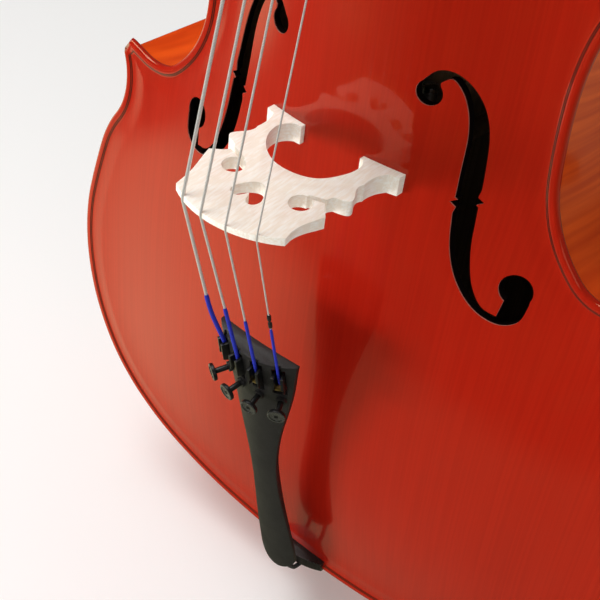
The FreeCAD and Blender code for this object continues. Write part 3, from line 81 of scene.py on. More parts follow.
bpy.ops.mesh.primitive_plane_add(size=14.0, location=(0.0, 0.0, -0.0006))
floor = bpy.context.object
floor.name = "floor"
paper, paper_shader = surface("floor_paper", (0.86, 0.855, 0.84), 0.7, Specular_IOR_Level=0.2)
paper_shader.inputs["Emission Color"].default_value = (1.0, 0.995, 0.985, 1.0)
paper_shader.inputs["Emission Strength"].default_value = 0.12
# Painted reflection: a pale yellow glow that only glossy rays see. It is strongest on the left of the floor and fades
# towards the front, and stands in for a bright card mirrored in the varnish.
sheen = paper.node_tree
spot = sheen.nodes.new("ShaderNodeTexCoord")
split = sheen.nodes.new("ShaderNodeSeparateXYZ")
fade = sheen.nodes.new("ShaderNodeMapRange")
fade.interpolation_type = "SMOOTHSTEP"
for socket, value in (("From Min", -0.47), ("From Max", -0.35), ("To Min", 0.18), ("To Max", 1.0)):
    fade.inputs[socket].default_value = value
aside = sheen.nodes.new("ShaderNodeMapRange")
aside.interpolation_type = "SMOOTHSTEP"
for socket, value in (("From Min", -0.36), ("From Max", -0.06), ("To Min", 1.0), ("To Max", 0.25)):
    aside.inputs[socket].default_value = value
painted_reflection_mask = sheen.nodes.new("ShaderNodeMath")
painted_reflection_mask.operation = "MULTIPLY"
ray = sheen.nodes.new("ShaderNodeLightPath")
painted_reflection_glow = sheen.nodes.new("ShaderNodeEmission")
painted_reflection_glow.inputs["Color"].default_value = (0.72, 0.72, 0.46, 1.0)
either = sheen.nodes.new("ShaderNodeMixShader")
sheen.links.new(spot.outputs["Object"], split.inputs[0])
sheen.links.new(split.outputs["Y"], fade.inputs["Value"])
sheen.links.new(split.outputs["X"], aside.inputs["Value"])
sheen.links.new(fade.outputs[0], painted_reflection_mask.inputs[0])
sheen.links.new(aside.outputs[0], painted_reflection_mask.inputs[1])
sheen.links.new(painted_reflection_mask.outputs[0], painted_reflection_glow.inputs["Strength"])
sheen.links.new(ray.outputs["Is Glossy Ray"], either.inputs[0])
sheen.links.new(paper_shader.outputs[0], either.inputs[1])
sheen.links.new(painted_reflection_glow.outputs[0], either.inputs[2])
sheen.links.new(either.outputs[0], sheen.nodes["Material Output"].inputs["Surface"])
floor.data.materials.append(paper)


def soft_lamp(name, place, aim, width, height, power, tint=(1.0, 1.0, 1.0)):
    data = bpy.data.lights.new(name, "AREA")
    data.shape = "RECTANGLE"
    data.size, data.size_y = width, height
    data.energy = power
    data.color = tint
    lamp = bpy.data.objects.new(name, data)
    lamp.rotation_euler = (Vector(aim) - Vector(place)).to_track_quat("-Z", "Y").to_euler()
    lamp.location = place
    scene.collection.objects.link(lamp)
    return lamp


key_lamp = soft_lamp("key_lamp", (-0.60, -0.90, 0.06), (0.0, -0.08, 0.33), 0.36, 0.36, 9.5)
key_lamp.visible_glossy = False
soft_lamp("top_lamp", (-0.9, -0.7, 2.8), (0.0, -0.05, 0.4), 1.6, 1.6, 54.0)
soft_lamp("fill_lamp", (2.2, -1.6, 1.5), (0.0, -0.05, 0.4), 1.5, 1.5, 6.0)
world = bpy.data.worlds.new("studio")
world.use_nodes = True
scene.world = world
sky = world.node_tree
sky.nodes.clear()
out = sky.nodes.new("ShaderNodeOutputWorld")
air = sky.nodes.new("ShaderNodeBackground")
air.inputs["Strength"].default_value = 0.36
air.inputs["Color"].default_value = (1.0, 1.0, 1.0, 1.0)
mirrored = sky.nodes.new("ShaderNodeBackground")
mirrored.inputs["Color"].default_value = (1.0, 0.85, 0.70, 1.0)
mirrored.inputs["Strength"].default_value = 0.09
glossy = sky.nodes.new("ShaderNodeLightPath")
pick = sky.nodes.new("ShaderNodeMixShader")
sky.links.new(glossy.outputs["Is Glossy Ray"], pick.inputs[0])
sky.links.new(air.outputs[0], pick.inputs[1])
sky.links.new(mirrored.outputs[0], pick.inputs[2])
sky.links.new(pick.outputs[0], out.inputs[0])

# ---- Front plate -------------------------------------------------------------------------------
# The belly is carved from two pieces of straight-grained spruce.  Its outline is a chain of arcs,
# the edge is a rounded bead with a channel inside it, and the f-holes are cut right through.
# It is glued to the ribs and coated in clear red varnish.
MM = 0.001
BODY_LENGTH, LOWER_BOUT, WAIST, UPPER_BOUT = 755.0, 451.0, 230.0, 342.0
BODY_BOTTOM, BRIDGE_Z = 49.5, 402.5
BODY_TOP = BODY_BOTTOM + BODY_LENGTH
RIB_FRONT, RIB_BACK, EDGE, PLATE = -59.0, 59.0, 4.5, 5.0
FRONT, BACK = RIB_FRONT - EDGE, RIB_BACK + EDGE
TOP_ARCH, BACK_ARCH, CORNER_END = 23.0, 22.0, 11.0
low, mid, top = LOWER_BOUT / 2, WAIST / 2, UPPER_BOUT / 2
lower_corner = (0.415 * LOWER_BOUT, 0.4330 * BODY_LENGTH)
upper_corner = (0.459 * UPPER_BOUT, 0.6640 * BODY_LENGTH)
lower_tip = (lower_corner[0] - 0.59 * CORNER_END, lower_corner[1] + 0.81 * CORNER_END)
upper_tip = (upper_corner[0] - 0.45 * CORNER_END, upper_corner[1] - 0.89 * CORNER_END)
# Stations of each run: half width, height from the bottom, heading in degrees.
OUTLINE = {
    "lower": [(0.0, 0.0, 0.0), (0.562 * low, 0.0265 * BODY_LENGTH, 20.0),
              (0.897 * low, 0.1050 * BODY_LENGTH, 59.0), (low, 0.2210 * BODY_LENGTH, 90.0),
              (0.924 * low, 0.3310 * BODY_LENGTH, 108.0), (0.818 * low, 0.4040 * BODY_LENGTH, 95.0),
              (*lower_corner, 70.0)],
    "waist": [(*lower_tip, 200.0), (mid + 0.62 * (lower_tip[0] - mid), lower_tip[1] - 7.0, 178.0),
              (mid + 0.25 * (lower_tip[0] - mid), lower_tip[1] + 10.0, 127.0),
              (mid, 0.5560 * BODY_LENGTH, 90.0),
              (mid + 0.18 * (upper_tip[0] - mid), 0.6150 * BODY_LENGTH, 71.0),
              (mid + 0.52 * (upper_tip[0] - mid), upper_tip[1] - 6.0, 36.0), (*upper_tip, -8.0)],
    "upper": [(*upper_corner, 128.0), (0.860 * top, 0.6980 * BODY_LENGTH, 94.0),
              (0.912 * top, 0.7590 * BODY_LENGTH, 75.0), (top, 0.8350 * BODY_LENGTH, 90.0),
              (0.936 * top, 0.9035 * BODY_LENGTH, 118.0), (0.673 * top, 0.9670 * BODY_LENGTH, 152.0),
              (0.0, BODY_LENGTH, 180.0)],
}


def heading(degrees):
    return np.array((math.cos(math.radians(degrees)), math.sin(math.radians(degrees))))


def run_points(name, inset=0.0, step=2.5):
    """Points and headings along one run of the outline, moved inward, every couple of millimetres."""
    points, headings = [], []
    stations = OUTLINE[name]
    for (x0, z0, h0), (x1, z1, h1) in zip(stations, stations[1:]):
        start, end, t0, t1 = np.array((x0, z0)), np.array((x1, z1)), heading(h0), heading(h1)
        chord = end - start
        reach_in = chord @ (t0 + t1)
        spread = 2 * (1 - t0 @ t1)
        reach = (-reach_in + math.sqrt(reach_in ** 2 + spread * (chord @ chord))) / spread
        join = (start + end + reach * (t0 - t1)) / 2
        toward = math.degrees(math.atan2(join[1] - z0, join[0] - x0))
        middle = h0 + 2 * ((toward - h0 + 180) % 360 - 180)
        last = middle + ((h1 - middle + 180) % 360 - 180)
        for a, ha, b, hb in ((start, h0, join, middle), (join, middle, end, last)):
            count = max(2, int(np.linalg.norm(b - a) / step) + 1)
            bend = math.radians(hb - ha)
            for i in range(count):
                share = i / count
                if abs(bend) < 1e-4:
                    point = a + (b - a) * share
                else:
                    radius = np.linalg.norm(b - a) / (2 * math.sin(bend / 2))
                    centre = a + radius * heading(ha + 90)
                    point = centre - radius * heading(ha + 90 + math.degrees(bend) * share)
                way = ha + (hb - ha) * share
                points.append(point + inset * heading(way + 90))
                headings.append(way)
    points.append(end + inset * heading(last + 90))
    headings.append(last)
    return np.array(points), np.array(headings)


def outline_loop(inset=0.0, step=2.5):
    """The closed outline, treble side up and bass side down, as points and outward directions."""
    points, outward = [], []
    for name in ("lower", "waist", "upper"):
        run, ways = run_points(name, inset, step)
        side = [-heading(way + 90) for way in ways]
        points += list(run)
        outward += side
    points, outward = np.array(points), np.array(outward)
    keep = points[:, 0] > 1e-6
    keep[0] = keep[-1] = True
    points, outward = points[keep], outward[keep]
    mirror = np.array((-1.0, 1.0))
    points = np.vstack((points, (points * mirror)[-2:0:-1]))
    outward = np.vstack((outward, (outward * mirror)[-2:0:-1]))
    return points, outward


def channel_half_width(z):
    z = np.asarray(z, float)
    start, end = 0.0145 * BODY_LENGTH, 0.9855 * BODY_LENGTH
    a, b, c = 0.2210 * BODY_LENGTH, 0.5500 * BODY_LENGTH, 0.8240 * BODY_LENGTH
    wide, narrow, high = low - 13.0, mid - 13.0, top - 13.0
    foot = np.clip((a - z) / (a - start), 0, 1)
    head = np.clip((z - c) / (end - c), 0, 1)
    rise = np.clip((z - a) / (b - a), 0, 1) ** 1.25
    fall = np.clip((z - b) / (c - b), 0, 1) ** 1.25
    width = np.where(z < b, wide + (narrow - wide) * rise * rise * (3 - 2 * rise),
                     narrow + (high - narrow) * fall * fall * (3 - 2 * fall))
    width = np.where(z < a, wide * (1 - foot ** 2.5) ** 0.4, width)
    return np.where(z > c, high * (1 - head ** 2.5) ** 0.4, width)


def arch_height(x, z, crown):
    """How far the arch stands above the plate's edge plane; z counts from the body's bottom."""
    start, end = 0.0145 * BODY_LENGTH, 0.9855 * BODY_LENGTH
    along = np.clip((z - (start + end) / 2) / ((end - start) / 2), -1, 1)
    across = np.clip(np.abs(x) / np.maximum(channel_half_width(z), 1.0), 0, 1)
    lengthwise = (1 - along ** 6) ** 2 * (1 + 0.3 * along ** 6)
    return crown * lengthwise * (1 - across ** 2) ** 2 * (1 + 0.9 * across ** 2)


BEAD, SCOOP, SCOOP_AT, SCOOP_END = 2.4, 1.15, 7.2, 19.0


def edge_profile(d):
    """The height of the rounded edge bead and the channel by distance from the outline."""
    d = np.asarray(d, float)
    round_off = np.where(d < BEAD, np.sqrt(np.clip(BEAD ** 2 - (BEAD - d) ** 2, 0, None)) - BEAD, 0.0)
    into = np.clip((d - 3.2) / (SCOOP_AT - 3.2), 0, 1)
    out_of = np.clip((d - SCOOP_AT) / (SCOOP_END - SCOOP_AT), 0, 1)
    dip = np.where(d < SCOOP_AT, into * into * (3 - 2 * into), 1 - out_of * out_of * (3 - 2 * out_of))
    return round_off - SCOOP * dip


rim_points, rim_out = outline_loop(0.0, 0.8)
rim_next = np.roll(rim_points, -1, axis=0)


def to_rim(points):
    """Distance to the outline and the unit direction towards its nearest point."""
    distance, towards = np.empty(len(points)), np.empty((len(points), 2))
    leg = rim_next - rim_points
    square = np.maximum((leg ** 2).sum(1), 1e-9)
    for first in range(0, len(points), 1500):
        part = points[first:first + 1500]
        gap = part[:, None, :] - rim_points[None]
        share = np.clip((gap * leg[None]).sum(2) / square, 0, 1)
        nearest = rim_points[None] + share[..., None] * leg[None]
        away = nearest - part[:, None, :]
        length = (away ** 2).sum(2)
        best = length.argmin(1)
        rows = np.arange(len(part))
        distance[first:first + 1500] = np.sqrt(length[rows, best])
        towards[first:first + 1500] = away[rows, best]
    return distance, towards / np.maximum(distance, 1e-6)[:, None]


def inside_loop(points, loop):
    """Which points lie inside a closed loop, by counting crossings."""
    after = np.roll(loop, -1, axis=0)
    inside = np.zeros(len(points), bool)
    for (x0, z0), (x1, z1) in zip(loop, after):
        crosses = (z0 > points[:, 1]) != (z1 > points[:, 1])
        if z1 != z0:
            at = x0 + (points[:, 1] - z0) * (x1 - x0) / (z1 - z0)
            inside ^= crosses & (points[:, 0] < at)
    return inside


def through(points, count):
    """A smooth chain of points through a few given ones."""
    points = [Vector((x, z, 0)) for x, z in points]
    spans = len(points) - 1
    padded = [2 * points[0] - points[1]] + points + [2 * points[-1] - points[-2]]
    chain = []
    for i in range(spans):
        p0, p1, p2, p3 = padded[i:i + 4]
        a, b, c = ((p1 - p0).length ** 0.5, (p2 - p1).length ** 0.5, (p3 - p2).length ** 0.5)
        m1 = p2 - p1 + b * ((p1 - p0) / a - (p2 - p0) / (a + b))
        m2 = p2 - p1 + b * ((p3 - p2) / c - (p3 - p1) / (b + c))
        for j in range(count):
            s = j / count
            chain.append(p1 * (2 * s ** 3 - 3 * s ** 2 + 1) + m1 * (s ** 3 - 2 * s ** 2 + s)
                         + p2 * (3 * s ** 2 - 2 * s ** 3) + m2 * (s ** 3 - s ** 2))
    chain.append(points[-1])
    return [(p.x, p.y) for p in chain]


F_EYES = ((48.0, 53.0, 6.8), (114.0, -36.0, 9.0))
F_OUTER = ((43.4, 58.2), (50.5, 65.8), (58.2, 67.0), (66.5, 63.0), (74.0, 54.5), (79.3, 41.8),
           (82.6, 20.0), (84.6, -3.0), (87.0, -24.5), (93.0, -43.5), (100.5, -52.5), (108.5, -54.3))
F_INNER = ((51.5, 58.8), (57.5, 63.2), (62.5, 59.0), (67.0, 50.5), (70.0, 38.0), (71.2, 16.0),
           (72.6, -6.0), (76.0, -26.5), (82.0, -41.0), (91.0, -52.0), (101.0, -57.8), (111.5, -58.6),
           (120.0, -53.0), (123.0, -38.0))


def f_loop(side, grow=0.0):
    """One f-hole's closed outline: the blade's two edges, the notches and the two round eyes."""
    outer, inner = through(F_OUTER, 5), through(F_INNER, 5)

    def notched(chain, tip, way):
        near = min(range(len(chain)), key=lambda i: abs(chain[i][1] - tip[1]))
        return [p for p in chain[:near] if abs(p[1] - tip[1]) > 2.4] + [
            tuple((tip[0] - way * 1.2, tip[1] + 2.2)), tuple((tip[0] + way * 2.4, tip[1])),
            tuple((tip[0] - way * 1.2, tip[1] - 2.2))] + [
            p for p in chain[near:] if abs(p[1] - tip[1]) > 2.4]

    outer = notched(outer, (83.9, 4.5), 1)
    inner = notched(inner, (72.2, -0.2), -1)

    def eye(which, start, end, turn_way):
        x, z, radius = F_EYES[which]
        a0 = math.atan2(start[1] - z, start[0] - x)
        a1 = math.atan2(end[1] - z, end[0] - x)
        sweep = (a1 - a0) * turn_way % (2 * math.pi) * turn_way
        return [(x + radius * math.cos(a0 + sweep * i / 26), z + radius * math.sin(a0 + sweep * i / 26))
                for i in range(27)]

    def outside(chain, which):
        x, z, radius = F_EYES[which]
        return [p for p in chain if math.hypot(p[0] - x, p[1] - z) > radius + 0.25]

    outer, inner = outside(outside(outer, 0), 1), outside(outside(inner, 0), 1)
    loop = outer + eye(1, outer[-1], inner[-1], -1)[1:-1] + inner[::-1] + eye(0, inner[0], outer[0], -1)[1:-1]
    loop = np.array(loop)
    if grow:
        after, before = np.roll(loop, -1, axis=0), np.roll(loop, 1, axis=0)
        along = (after - before) / np.maximum(np.linalg.norm(after - before, axis=1), 1e-6)[:, None]
        area = (loop[:, 0] * after[:, 1] - after[:, 0] * loop[:, 1]).sum()
        loop = loop + grow * np.sign(area) * np.stack((along[:, 1], -along[:, 0]), 1)
    loop = loop * np.array((side, 1.0))
    return loop + np.array((0.0, BRIDGE_Z - BODY_BOTTOM))


def mesh_object(name, verts, faces, materials=(), indices=None, normals=None):
    """A finished piece from mesh data in millimetres, with each corner's own normal if given."""
    mesh = bpy.data.meshes.new(name)
    mesh.from_pydata([tuple(c * MM for c in v) for v in verts], [], faces)
    for material in materials:
        mesh.materials.append(material)
    if indices is not None:
        mesh.polygons.foreach_set("material_index", indices)
    mesh.polygons.foreach_set("use_smooth", [True] * len(mesh.polygons))
    mesh.update()
    if normals is not None:
        mesh.normals_split_custom_set(normals)
    piece = bpy.data.objects.new(name, mesh)
    scene.collection.objects.link(piece)
    return piece


def carved_plate(name, sign, level, rib_level, crown, holes, materials, bump_top=()):
    """A carved plate: its show face, its inner face, the rounded rim and the walls of its holes."""
    ring, ring_out = outline_loop(0.0, 2.5)
    flat = [ring]
    for inset in (0.25, 0.6, 1.1, 1.7, 2.4, 3.2, 4.0, 4.8, 5.6, 6.4, 7.2, 8.6, 10.4, 12.6, 15.4, 19.0):
        loop, loop_out = outline_loop(inset, 2.5 if inset < 8 else 3.6)
        distance, towards = to_rim(loop)
        flat.append(loop[distance > inset - 0.02])
    grid = np.array([(x + (row % 2) * 2.5, row * 4.33) for row in range(180)
                     for x in np.arange(-230.0, 230.0, 5.0)])
    grid = grid[inside_loop(grid, ring)]
    distance, towards = to_rim(grid)
    grid = grid[distance > 21.5]
    hole_loops = [f_loop(side) for side in holes]
    hole_rings = []
    for side in holes:
        for grow in (0.7, 1.7):
            hole_rings.append(f_loop(side, grow))
    keep = np.ones(len(grid), bool)
    for loop in hole_loops:
        for i in range(0, len(grid), 2000):
            gap = np.linalg.norm(grid[i:i + 2000, None] - loop[None], axis=2).min(1)
            keep[i:i + 2000] &= gap > 3.2
        keep &= ~inside_loop(grid, loop)
    flat.append(grid[keep])
    first_hole = sum(len(part) for part in flat)
    flat += hole_loops
    for ring_points in hole_rings:
        gap = np.min([np.linalg.norm(ring_points[:, None] - loop[None], axis=2).min(1)
                      for loop in hole_loops], axis=0)
        flat.append(ring_points[gap > 0.45])
    points = np.vstack(flat)
    edges = [(i, (i + 1) % len(ring)) for i in range(len(ring))]
    starts, at = [], first_hole
    for loop in hole_loops:
        starts.append((at, len(loop)))
        edges += [(at + i, at + (i + 1) % len(loop)) for i in range(len(loop))]
        at += len(loop)
    made = geometry.delaunay_2d_cdt([Vector(p) for p in points], edges, [], 0, 1e-5)
    new_points, triangles, came_from = np.array([tuple(v) for v in made[0]]), made[2], made[3]
    where = {}
    for new, olds in enumerate(came_from):
        for old in olds:
            where[old] = new
    triangles = np.array([t for t in triangles if len(t) == 3])
    centres = new_points[triangles].mean(1)
    keep = inside_loop(centres, ring)
    for loop in hole_loops:
        keep &= ~inside_loop(centres, loop)
    triangles = triangles[keep]
    corner = new_points[triangles]
    area = np.cross(corner[:, 1] - corner[:, 0], corner[:, 2] - corner[:, 0])
    triangles[area < 0] = triangles[area < 0][:, ::-1]
    x, z = new_points[:, 0], new_points[:, 1]
    distance, towards = to_rim(new_points)
    rim = [where[i] for i in range(len(ring))]
    towards[rim] = ring_out
    distance[rim] = 0.0
    arch = arch_height(x, z, crown)
    height = arch + edge_profile(distance)
    step = 0.4
    slope_x = (arch_height(x + step, z, crown) - arch_height(x - step, z, crown)) / (2 * step)
    slope_z = (arch_height(x, z + step, crown) - arch_height(x, z - step, crown)) / (2 * step)
    near = np.maximum(distance, 0.03)
    fall = (edge_profile(near + 0.02) - edge_profile(near - 0.02)) / 0.04
    gx, gz = slope_x - fall * towards[:, 0], slope_z - fall * towards[:, 1]
    show_normal = np.stack((-gx, np.full(len(gx), float(sign)), -gz), 1)
    show_normal /= np.linalg.norm(show_normal, axis=1)[:, None]
    show_normal[rim] = np.stack((ring_out[:, 0], np.zeros(len(rim)), ring_out[:, 1]), 1)
    show_y = level + sign * height
    inner_y = level + sign * arch - sign * PLATE
    soft = 1.0 - np.sqrt(np.clip(1 - (1 - np.clip(distance, 0, 1.0)) ** 2, 0, 1))
    inner_y = np.minimum(inner_y, rib_level) if sign < 0 else np.maximum(inner_y, rib_level)
    inner_y = inner_y + sign * soft
    inner_normal = np.stack((slope_x, np.full(len(gx), -float(sign)), slope_z), 1)
    inner_normal /= np.linalg.norm(inner_normal, axis=1)[:, None]
    count = len(new_points)
    verts = [(x[i], show_y[i], z[i] + BODY_BOTTOM) for i in range(count)]
    verts += [(x[i], inner_y[i], z[i] + BODY_BOTTOM) for i in range(count)]
    faces, index, normals = [], [], []

    def add(face, normal_list, material):
        faces.append(face)
        index.append(material)
        normals.extend(normal_list)

    for a, b, c in triangles:
        show = (a, b, c) if sign < 0 else (a, c, b)
        add(tuple(int(i) for i in show), [tuple(show_normal[i]) for i in show], 0)
        under = show[::-1]
        add(tuple(int(i) + count for i in under), [tuple(inner_normal[i]) for i in under], 1)
    for i in range(len(rim)):
        a, b = rim[i], rim[(i + 1) % len(rim)]
        na, nb = ring_out[i], ring_out[(i + 1) % len(rim)]
        face = (b, a, a + count, b + count) if sign < 0 else (a, b, b + count, a + count)
        pick = {a: na, b: nb, a + count: na, b + count: nb}
        add(tuple(int(v) for v in face), [(pick[v][0], 0.0, pick[v][1]) for v in face], 0)
    for start, length in starts:
        ids = [where[start + i] for i in range(length)]
        loop = new_points[ids]
        turn_way = np.sign(sum(loop[i][0] * loop[(i + 1) % length][1] - loop[(i + 1) % length][0] * loop[i][1]
                               for i in range(length)))
        lip = len(verts)
        for v in ids:
            verts.append((x[v], show_y[v] - sign * 0.7, z[v] + BODY_BOTTOM))
        for i in range(length):
            j = (i + 1) % length
            a, b = ids[i], ids[j]
            way = new_points[b] - new_points[a]
            inward = np.array((-way[1], way[0])) * turn_way
            inward /= max(np.linalg.norm(inward), 1e-9)
            normal = (inward[0], 0.0, inward[1])
            upper = (a, b, lip + j, lip + i)
            lower_face = (lip + i, lip + j, b + count, a + count)
            if (turn_way > 0) == (sign < 0):
                upper, lower_face = upper[::-1], lower_face[::-1]
            upper, lower_face = upper[::-1], lower_face[::-1]
            # Material 2, the top 0.7 mm of the hole's wall, is a painted highlight.
            add(tuple(int(v) for v in upper), [normal] * 4, 2)
            # Material 3, the rest of the hole's wall, is painted shade.
            add(tuple(int(v) for v in lower_face), [normal] * 4, 3)
    return mesh_object(name, verts, faces, materials, index, normals)


def new_group(name, inputs, outputs):
    """An empty node group with named sockets."""
    group = bpy.data.node_groups.new(name, "ShaderNodeTree")
    for socket, kind, value in inputs:
        made = group.interface.new_socket(socket, in_out="INPUT", socket_type=kind)
        if value is not None:
            made.default_value = value
    for socket, kind in outputs:
        group.interface.new_socket(socket, in_out="OUTPUT", socket_type=kind)
    return group, group.nodes.new("NodeGroupInput"), group.nodes.new("NodeGroupOutput")


def node(tree, kind, values=None, **settings):
    """One node with its settings and the values of its sockets."""
    made = tree.nodes.new("ShaderNode" + kind)
    for key, value in settings.items():
        setattr(made, key, value)
    for key, value in (values or {}).items():
        made.inputs[key].default_value = value
    return made


def wire(tree, *links):
    """Joins sockets, each given as (from node, socket, to node, socket)."""
    for start, output, end, socket in links:
        tree.links.new(start.outputs[output], end.inputs[socket])


# Streaks that run along one way of the wood: year rings, pores or figure, by how the space is squeezed.
streaks, into, outof = new_group(
    "wood streaks",
    (("Vector", "NodeSocketVector", None), ("Squeeze", "NodeSocketVector", (600.0, 200.0, 5.0)),
     ("Sharpness", "NodeSocketFloat", 0.5), ("Wander", "NodeSocketFloat", 0.002)),
    (("Streak", "NodeSocketFloat"), ("Fine", "NodeSocketFloat")))
drift = node(streaks, "TexNoise", {"Scale": 9.0, "Detail": 1.0})
offset = node(streaks, "VectorMath", operation="SCALE")
moved = node(streaks, "VectorMath", operation="ADD")
squeezed = node(streaks, "VectorMath", operation="MULTIPLY")
band = node(streaks, "TexNoise", {"Scale": 1.0, "Detail": 2.0, "Roughness": 0.45})
band_fine = node(streaks, "TexNoise", {"Scale": 3.7, "Detail": 1.0, "Roughness": 0.5})
firm = node(streaks, "MapRange", {"From Min": 0.36, "From Max": 0.64})
wire(streaks, (into, "Vector", drift, "Vector"), (drift, "Color", offset, 0), (into, "Wander", offset, "Scale"),
     (into, "Vector", moved, 0), (offset, 0, moved, 1), (moved, 0, squeezed, 0), (into, "Squeeze", squeezed, 1),
     (squeezed, 0, band, "Vector"), (squeezed, 0, band_fine, "Vector"), (band, "Fac", firm, "Value"),
     (firm, 0, outof, "Streak"), (band_fine, "Fac", outof, "Fine"))

# Fine dust and rubbed patches, as two masks.
wear, into, outof = new_group(
    "handling wear",
    (("Vector", "NodeSocketVector", None), ("Size", "NodeSocketFloat", 60.0)),
    (("Rubbed", "NodeSocketFloat"), ("Dust", "NodeSocketFloat")))
patch = node(wear, "TexNoise", {"Detail": 4.0, "Roughness": 0.6})
patch_firm = node(wear, "MapRange", {"From Min": 0.42, "From Max": 0.7})
more = node(wear, "Math", {1: 38.0}, operation="MULTIPLY")
grit = node(wear, "TexNoise", {"Detail": 2.0})
grit_firm = node(wear, "MapRange", {"From Min": 0.62, "From Max": 0.78})
wire(wear, (into, "Vector", patch, "Vector"), (into, "Size", patch, "Scale"), (patch, "Fac", patch_firm, "Value"),
     (into, "Size", more, 0), (more, 0, grit, "Scale"), (into, "Vector", grit, "Vector"),
     (grit, "Fac", grit_firm, "Value"), (patch_firm, 0, outof, "Rubbed"), (grit_firm, 0, outof, "Dust"))

# Clear coloured varnish: the wood shows through as darker lines, and the colour pools here and there.
varnish, into, outof = new_group(
    "coloured varnish",
    (("Vector", "NodeSocketVector", None), ("Thin", "NodeSocketColor", (0.6, 0.05, 0.015, 1.0)),
     ("Deep", "NodeSocketColor", (0.3, 0.008, 0.004, 1.0)), ("Wood", "NodeSocketFloat", 0.5),
     ("Wood strength", "NodeSocketFloat", 0.3), ("Pooling", "NodeSocketFloat", 0.4)),
    (("Color", "NodeSocketColor"), ("Roughness", "NodeSocketFloat"), ("Height", "NodeSocketFloat")))
cloud = node(varnish, "TexNoise", {"Scale": 5.5, "Detail": 3.0, "Roughness": 0.55})
cloud_firm = node(varnish, "MapRange", {"From Min": 0.3, "From Max": 0.7})
pool = node(varnish, "Math", operation="MULTIPLY")
lines = node(varnish, "Math", operation="MULTIPLY")
depth = node(varnish, "Math", operation="ADD", use_clamp=True)
tone = node(varnish, "Mix", data_type="RGBA")
handled = node(varnish, "Group")
handled.node_tree = wear
shine = node(varnish, "MapRange", {"To Min": 0.13, "To Max": 0.2})
ripple = node(varnish, "TexNoise", {"Scale": 260.0, "Detail": 2.0})
raised = node(varnish, "Math", {1: 0.35}, operation="MULTIPLY_ADD")
wire(varnish, (into, "Vector", cloud, "Vector"), (cloud, "Fac", cloud_firm, "Value"), (cloud_firm, 0, pool, 0),
     (into, "Pooling", pool, 1), (into, "Wood", lines, 0), (into, "Wood strength", lines, 1), (pool, 0, depth, 0),
     (lines, 0, depth, 1), (depth, 0, tone, "Factor"), (into, "Thin", tone, 6), (into, "Deep", tone, 7),
     (into, "Vector", handled, "Vector"), (handled, "Rubbed", shine, "Value"), (into, "Vector", ripple, "Vector"),
     (into, "Wood", raised, 0), (ripple, "Fac", raised, 2), (tone, 2, outof, "Color"),
     (shine, 0, outof, "Roughness"), (raised, 0, outof, "Height"))


def varnished(name, thin, deep, squeeze, strength, pooling, wander=0.002, coat=0.5):
    """A varnished wood: streaks of the wood under a glossy coat."""
    material, shader = surface(name, thin, 0.3, Coat_Weight=coat, Coat_Roughness=0.03, Specular_IOR_Level=0.5,
                               Specular_Tint=(1.0, 0.4, 0.03, 1.0))
    tree = material.node_tree
    place = node(tree, "TexCoord")
    wood = node(tree, "Group")
    wood.node_tree = streaks
    wood.inputs["Squeeze"].default_value = squeeze
    wood.inputs["Wander"].default_value = wander
    coatings = node(tree, "Group")
    coatings.node_tree = varnish
    for socket, value in (("Thin", (*thin, 1.0)), ("Deep", (*deep, 1.0)), ("Wood strength", strength),
                          ("Pooling", pooling)):
        coatings.inputs[socket].default_value = value
    bump = node(tree, "Bump", {"Strength": 0.12, "Distance": 0.0002})
    wire(tree, (place, "Object", wood, "Vector"), (place, "Object", coatings, "Vector"),
         (wood, "Streak", coatings, "Wood"), (coatings, "Color", shader, "Base Color"),
         (coatings, "Roughness", shader, "Roughness"), (coatings, "Height", bump, "Height"),
         (bump, "Normal", shader, "Normal"))
    return material


spruce = varnished("front_varnish", (0.42, 0.0120, 0.0042), (0.23, 0.0035, 0.002), (720.0, 120.0, 4.0), 0.2, 0.14)


def bare_wood(name, pale, dark, squeeze, rough, fleck=0.0):
    """Unvarnished wood with its streaks, and medullary flecks across them if it has any."""
    material, shader = surface(name, pale, rough, Specular_IOR_Level=0.3)
    tree = material.node_tree
    place = node(tree, "TexCoord")
    wood = node(tree, "Group")
    wood.node_tree = streaks
    wood.inputs["Squeeze"].default_value = squeeze
    ramp = node(tree, "Mix", {6: (*pale, 1.0), 7: (*dark, 1.0)}, data_type="RGBA")
    handled = node(tree, "Group")
    handled.node_tree = wear
    dull = node(tree, "MapRange", {"To Min": rough, "To Max": min(1.0, rough + 0.2)})
    bump = node(tree, "Bump", {"Strength": 0.25, "Distance": 0.0002})
    share = node(tree, "Math", {1: 0.55}, operation="MULTIPLY")
    wire(tree, (place, "Object", wood, "Vector"), (place, "Object", handled, "Vector"),
         (wood, "Fine", bump, "Height"), (bump, "Normal", shader, "Normal"), (handled, "Rubbed", dull, "Value"),
         (dull, 0, shader, "Roughness"), (wood, "Streak", share, 0))
    if fleck:
        flecks = node(tree, "Group")
        flecks.node_tree = streaks
        flecks.inputs["Squeeze"].default_value = (fleck, fleck * 0.22, fleck * 0.22)
        firm = node(tree, "MapRange", {"From Min": 0.62, "From Max": 0.95, "To Max": 0.5})
        both = node(tree, "Math", operation="MAXIMUM")
        wire(tree, (place, "Object", flecks, "Vector"), (flecks, "Streak", firm, "Value"), (firm, 0, both, 0),
             (share, 0, both, 1), (both, 0, ramp, "Factor"))
    else:
        wire(tree, (share, 0, ramp, "Factor"))
    wire(tree, (ramp, 2, shader, "Base Color"))
    return material


inner_wood = bare_wood("inner_wood", (0.30, 0.19, 0.10), (0.16, 0.09, 0.045), (600.0, 140.0, 5.0), 0.75)
# Painted highlight: a pale pink band round the top 0.7 mm of each f-hole's wall stands in for light glinting on the
# hole's edge.
hole_lip_painted_highlight = bare_wood("f_hole_painted_highlight", (0.55, 0.20, 0.15), (0.30, 0.07, 0.05), (900.0, 500.0, 12.0), 0.4)
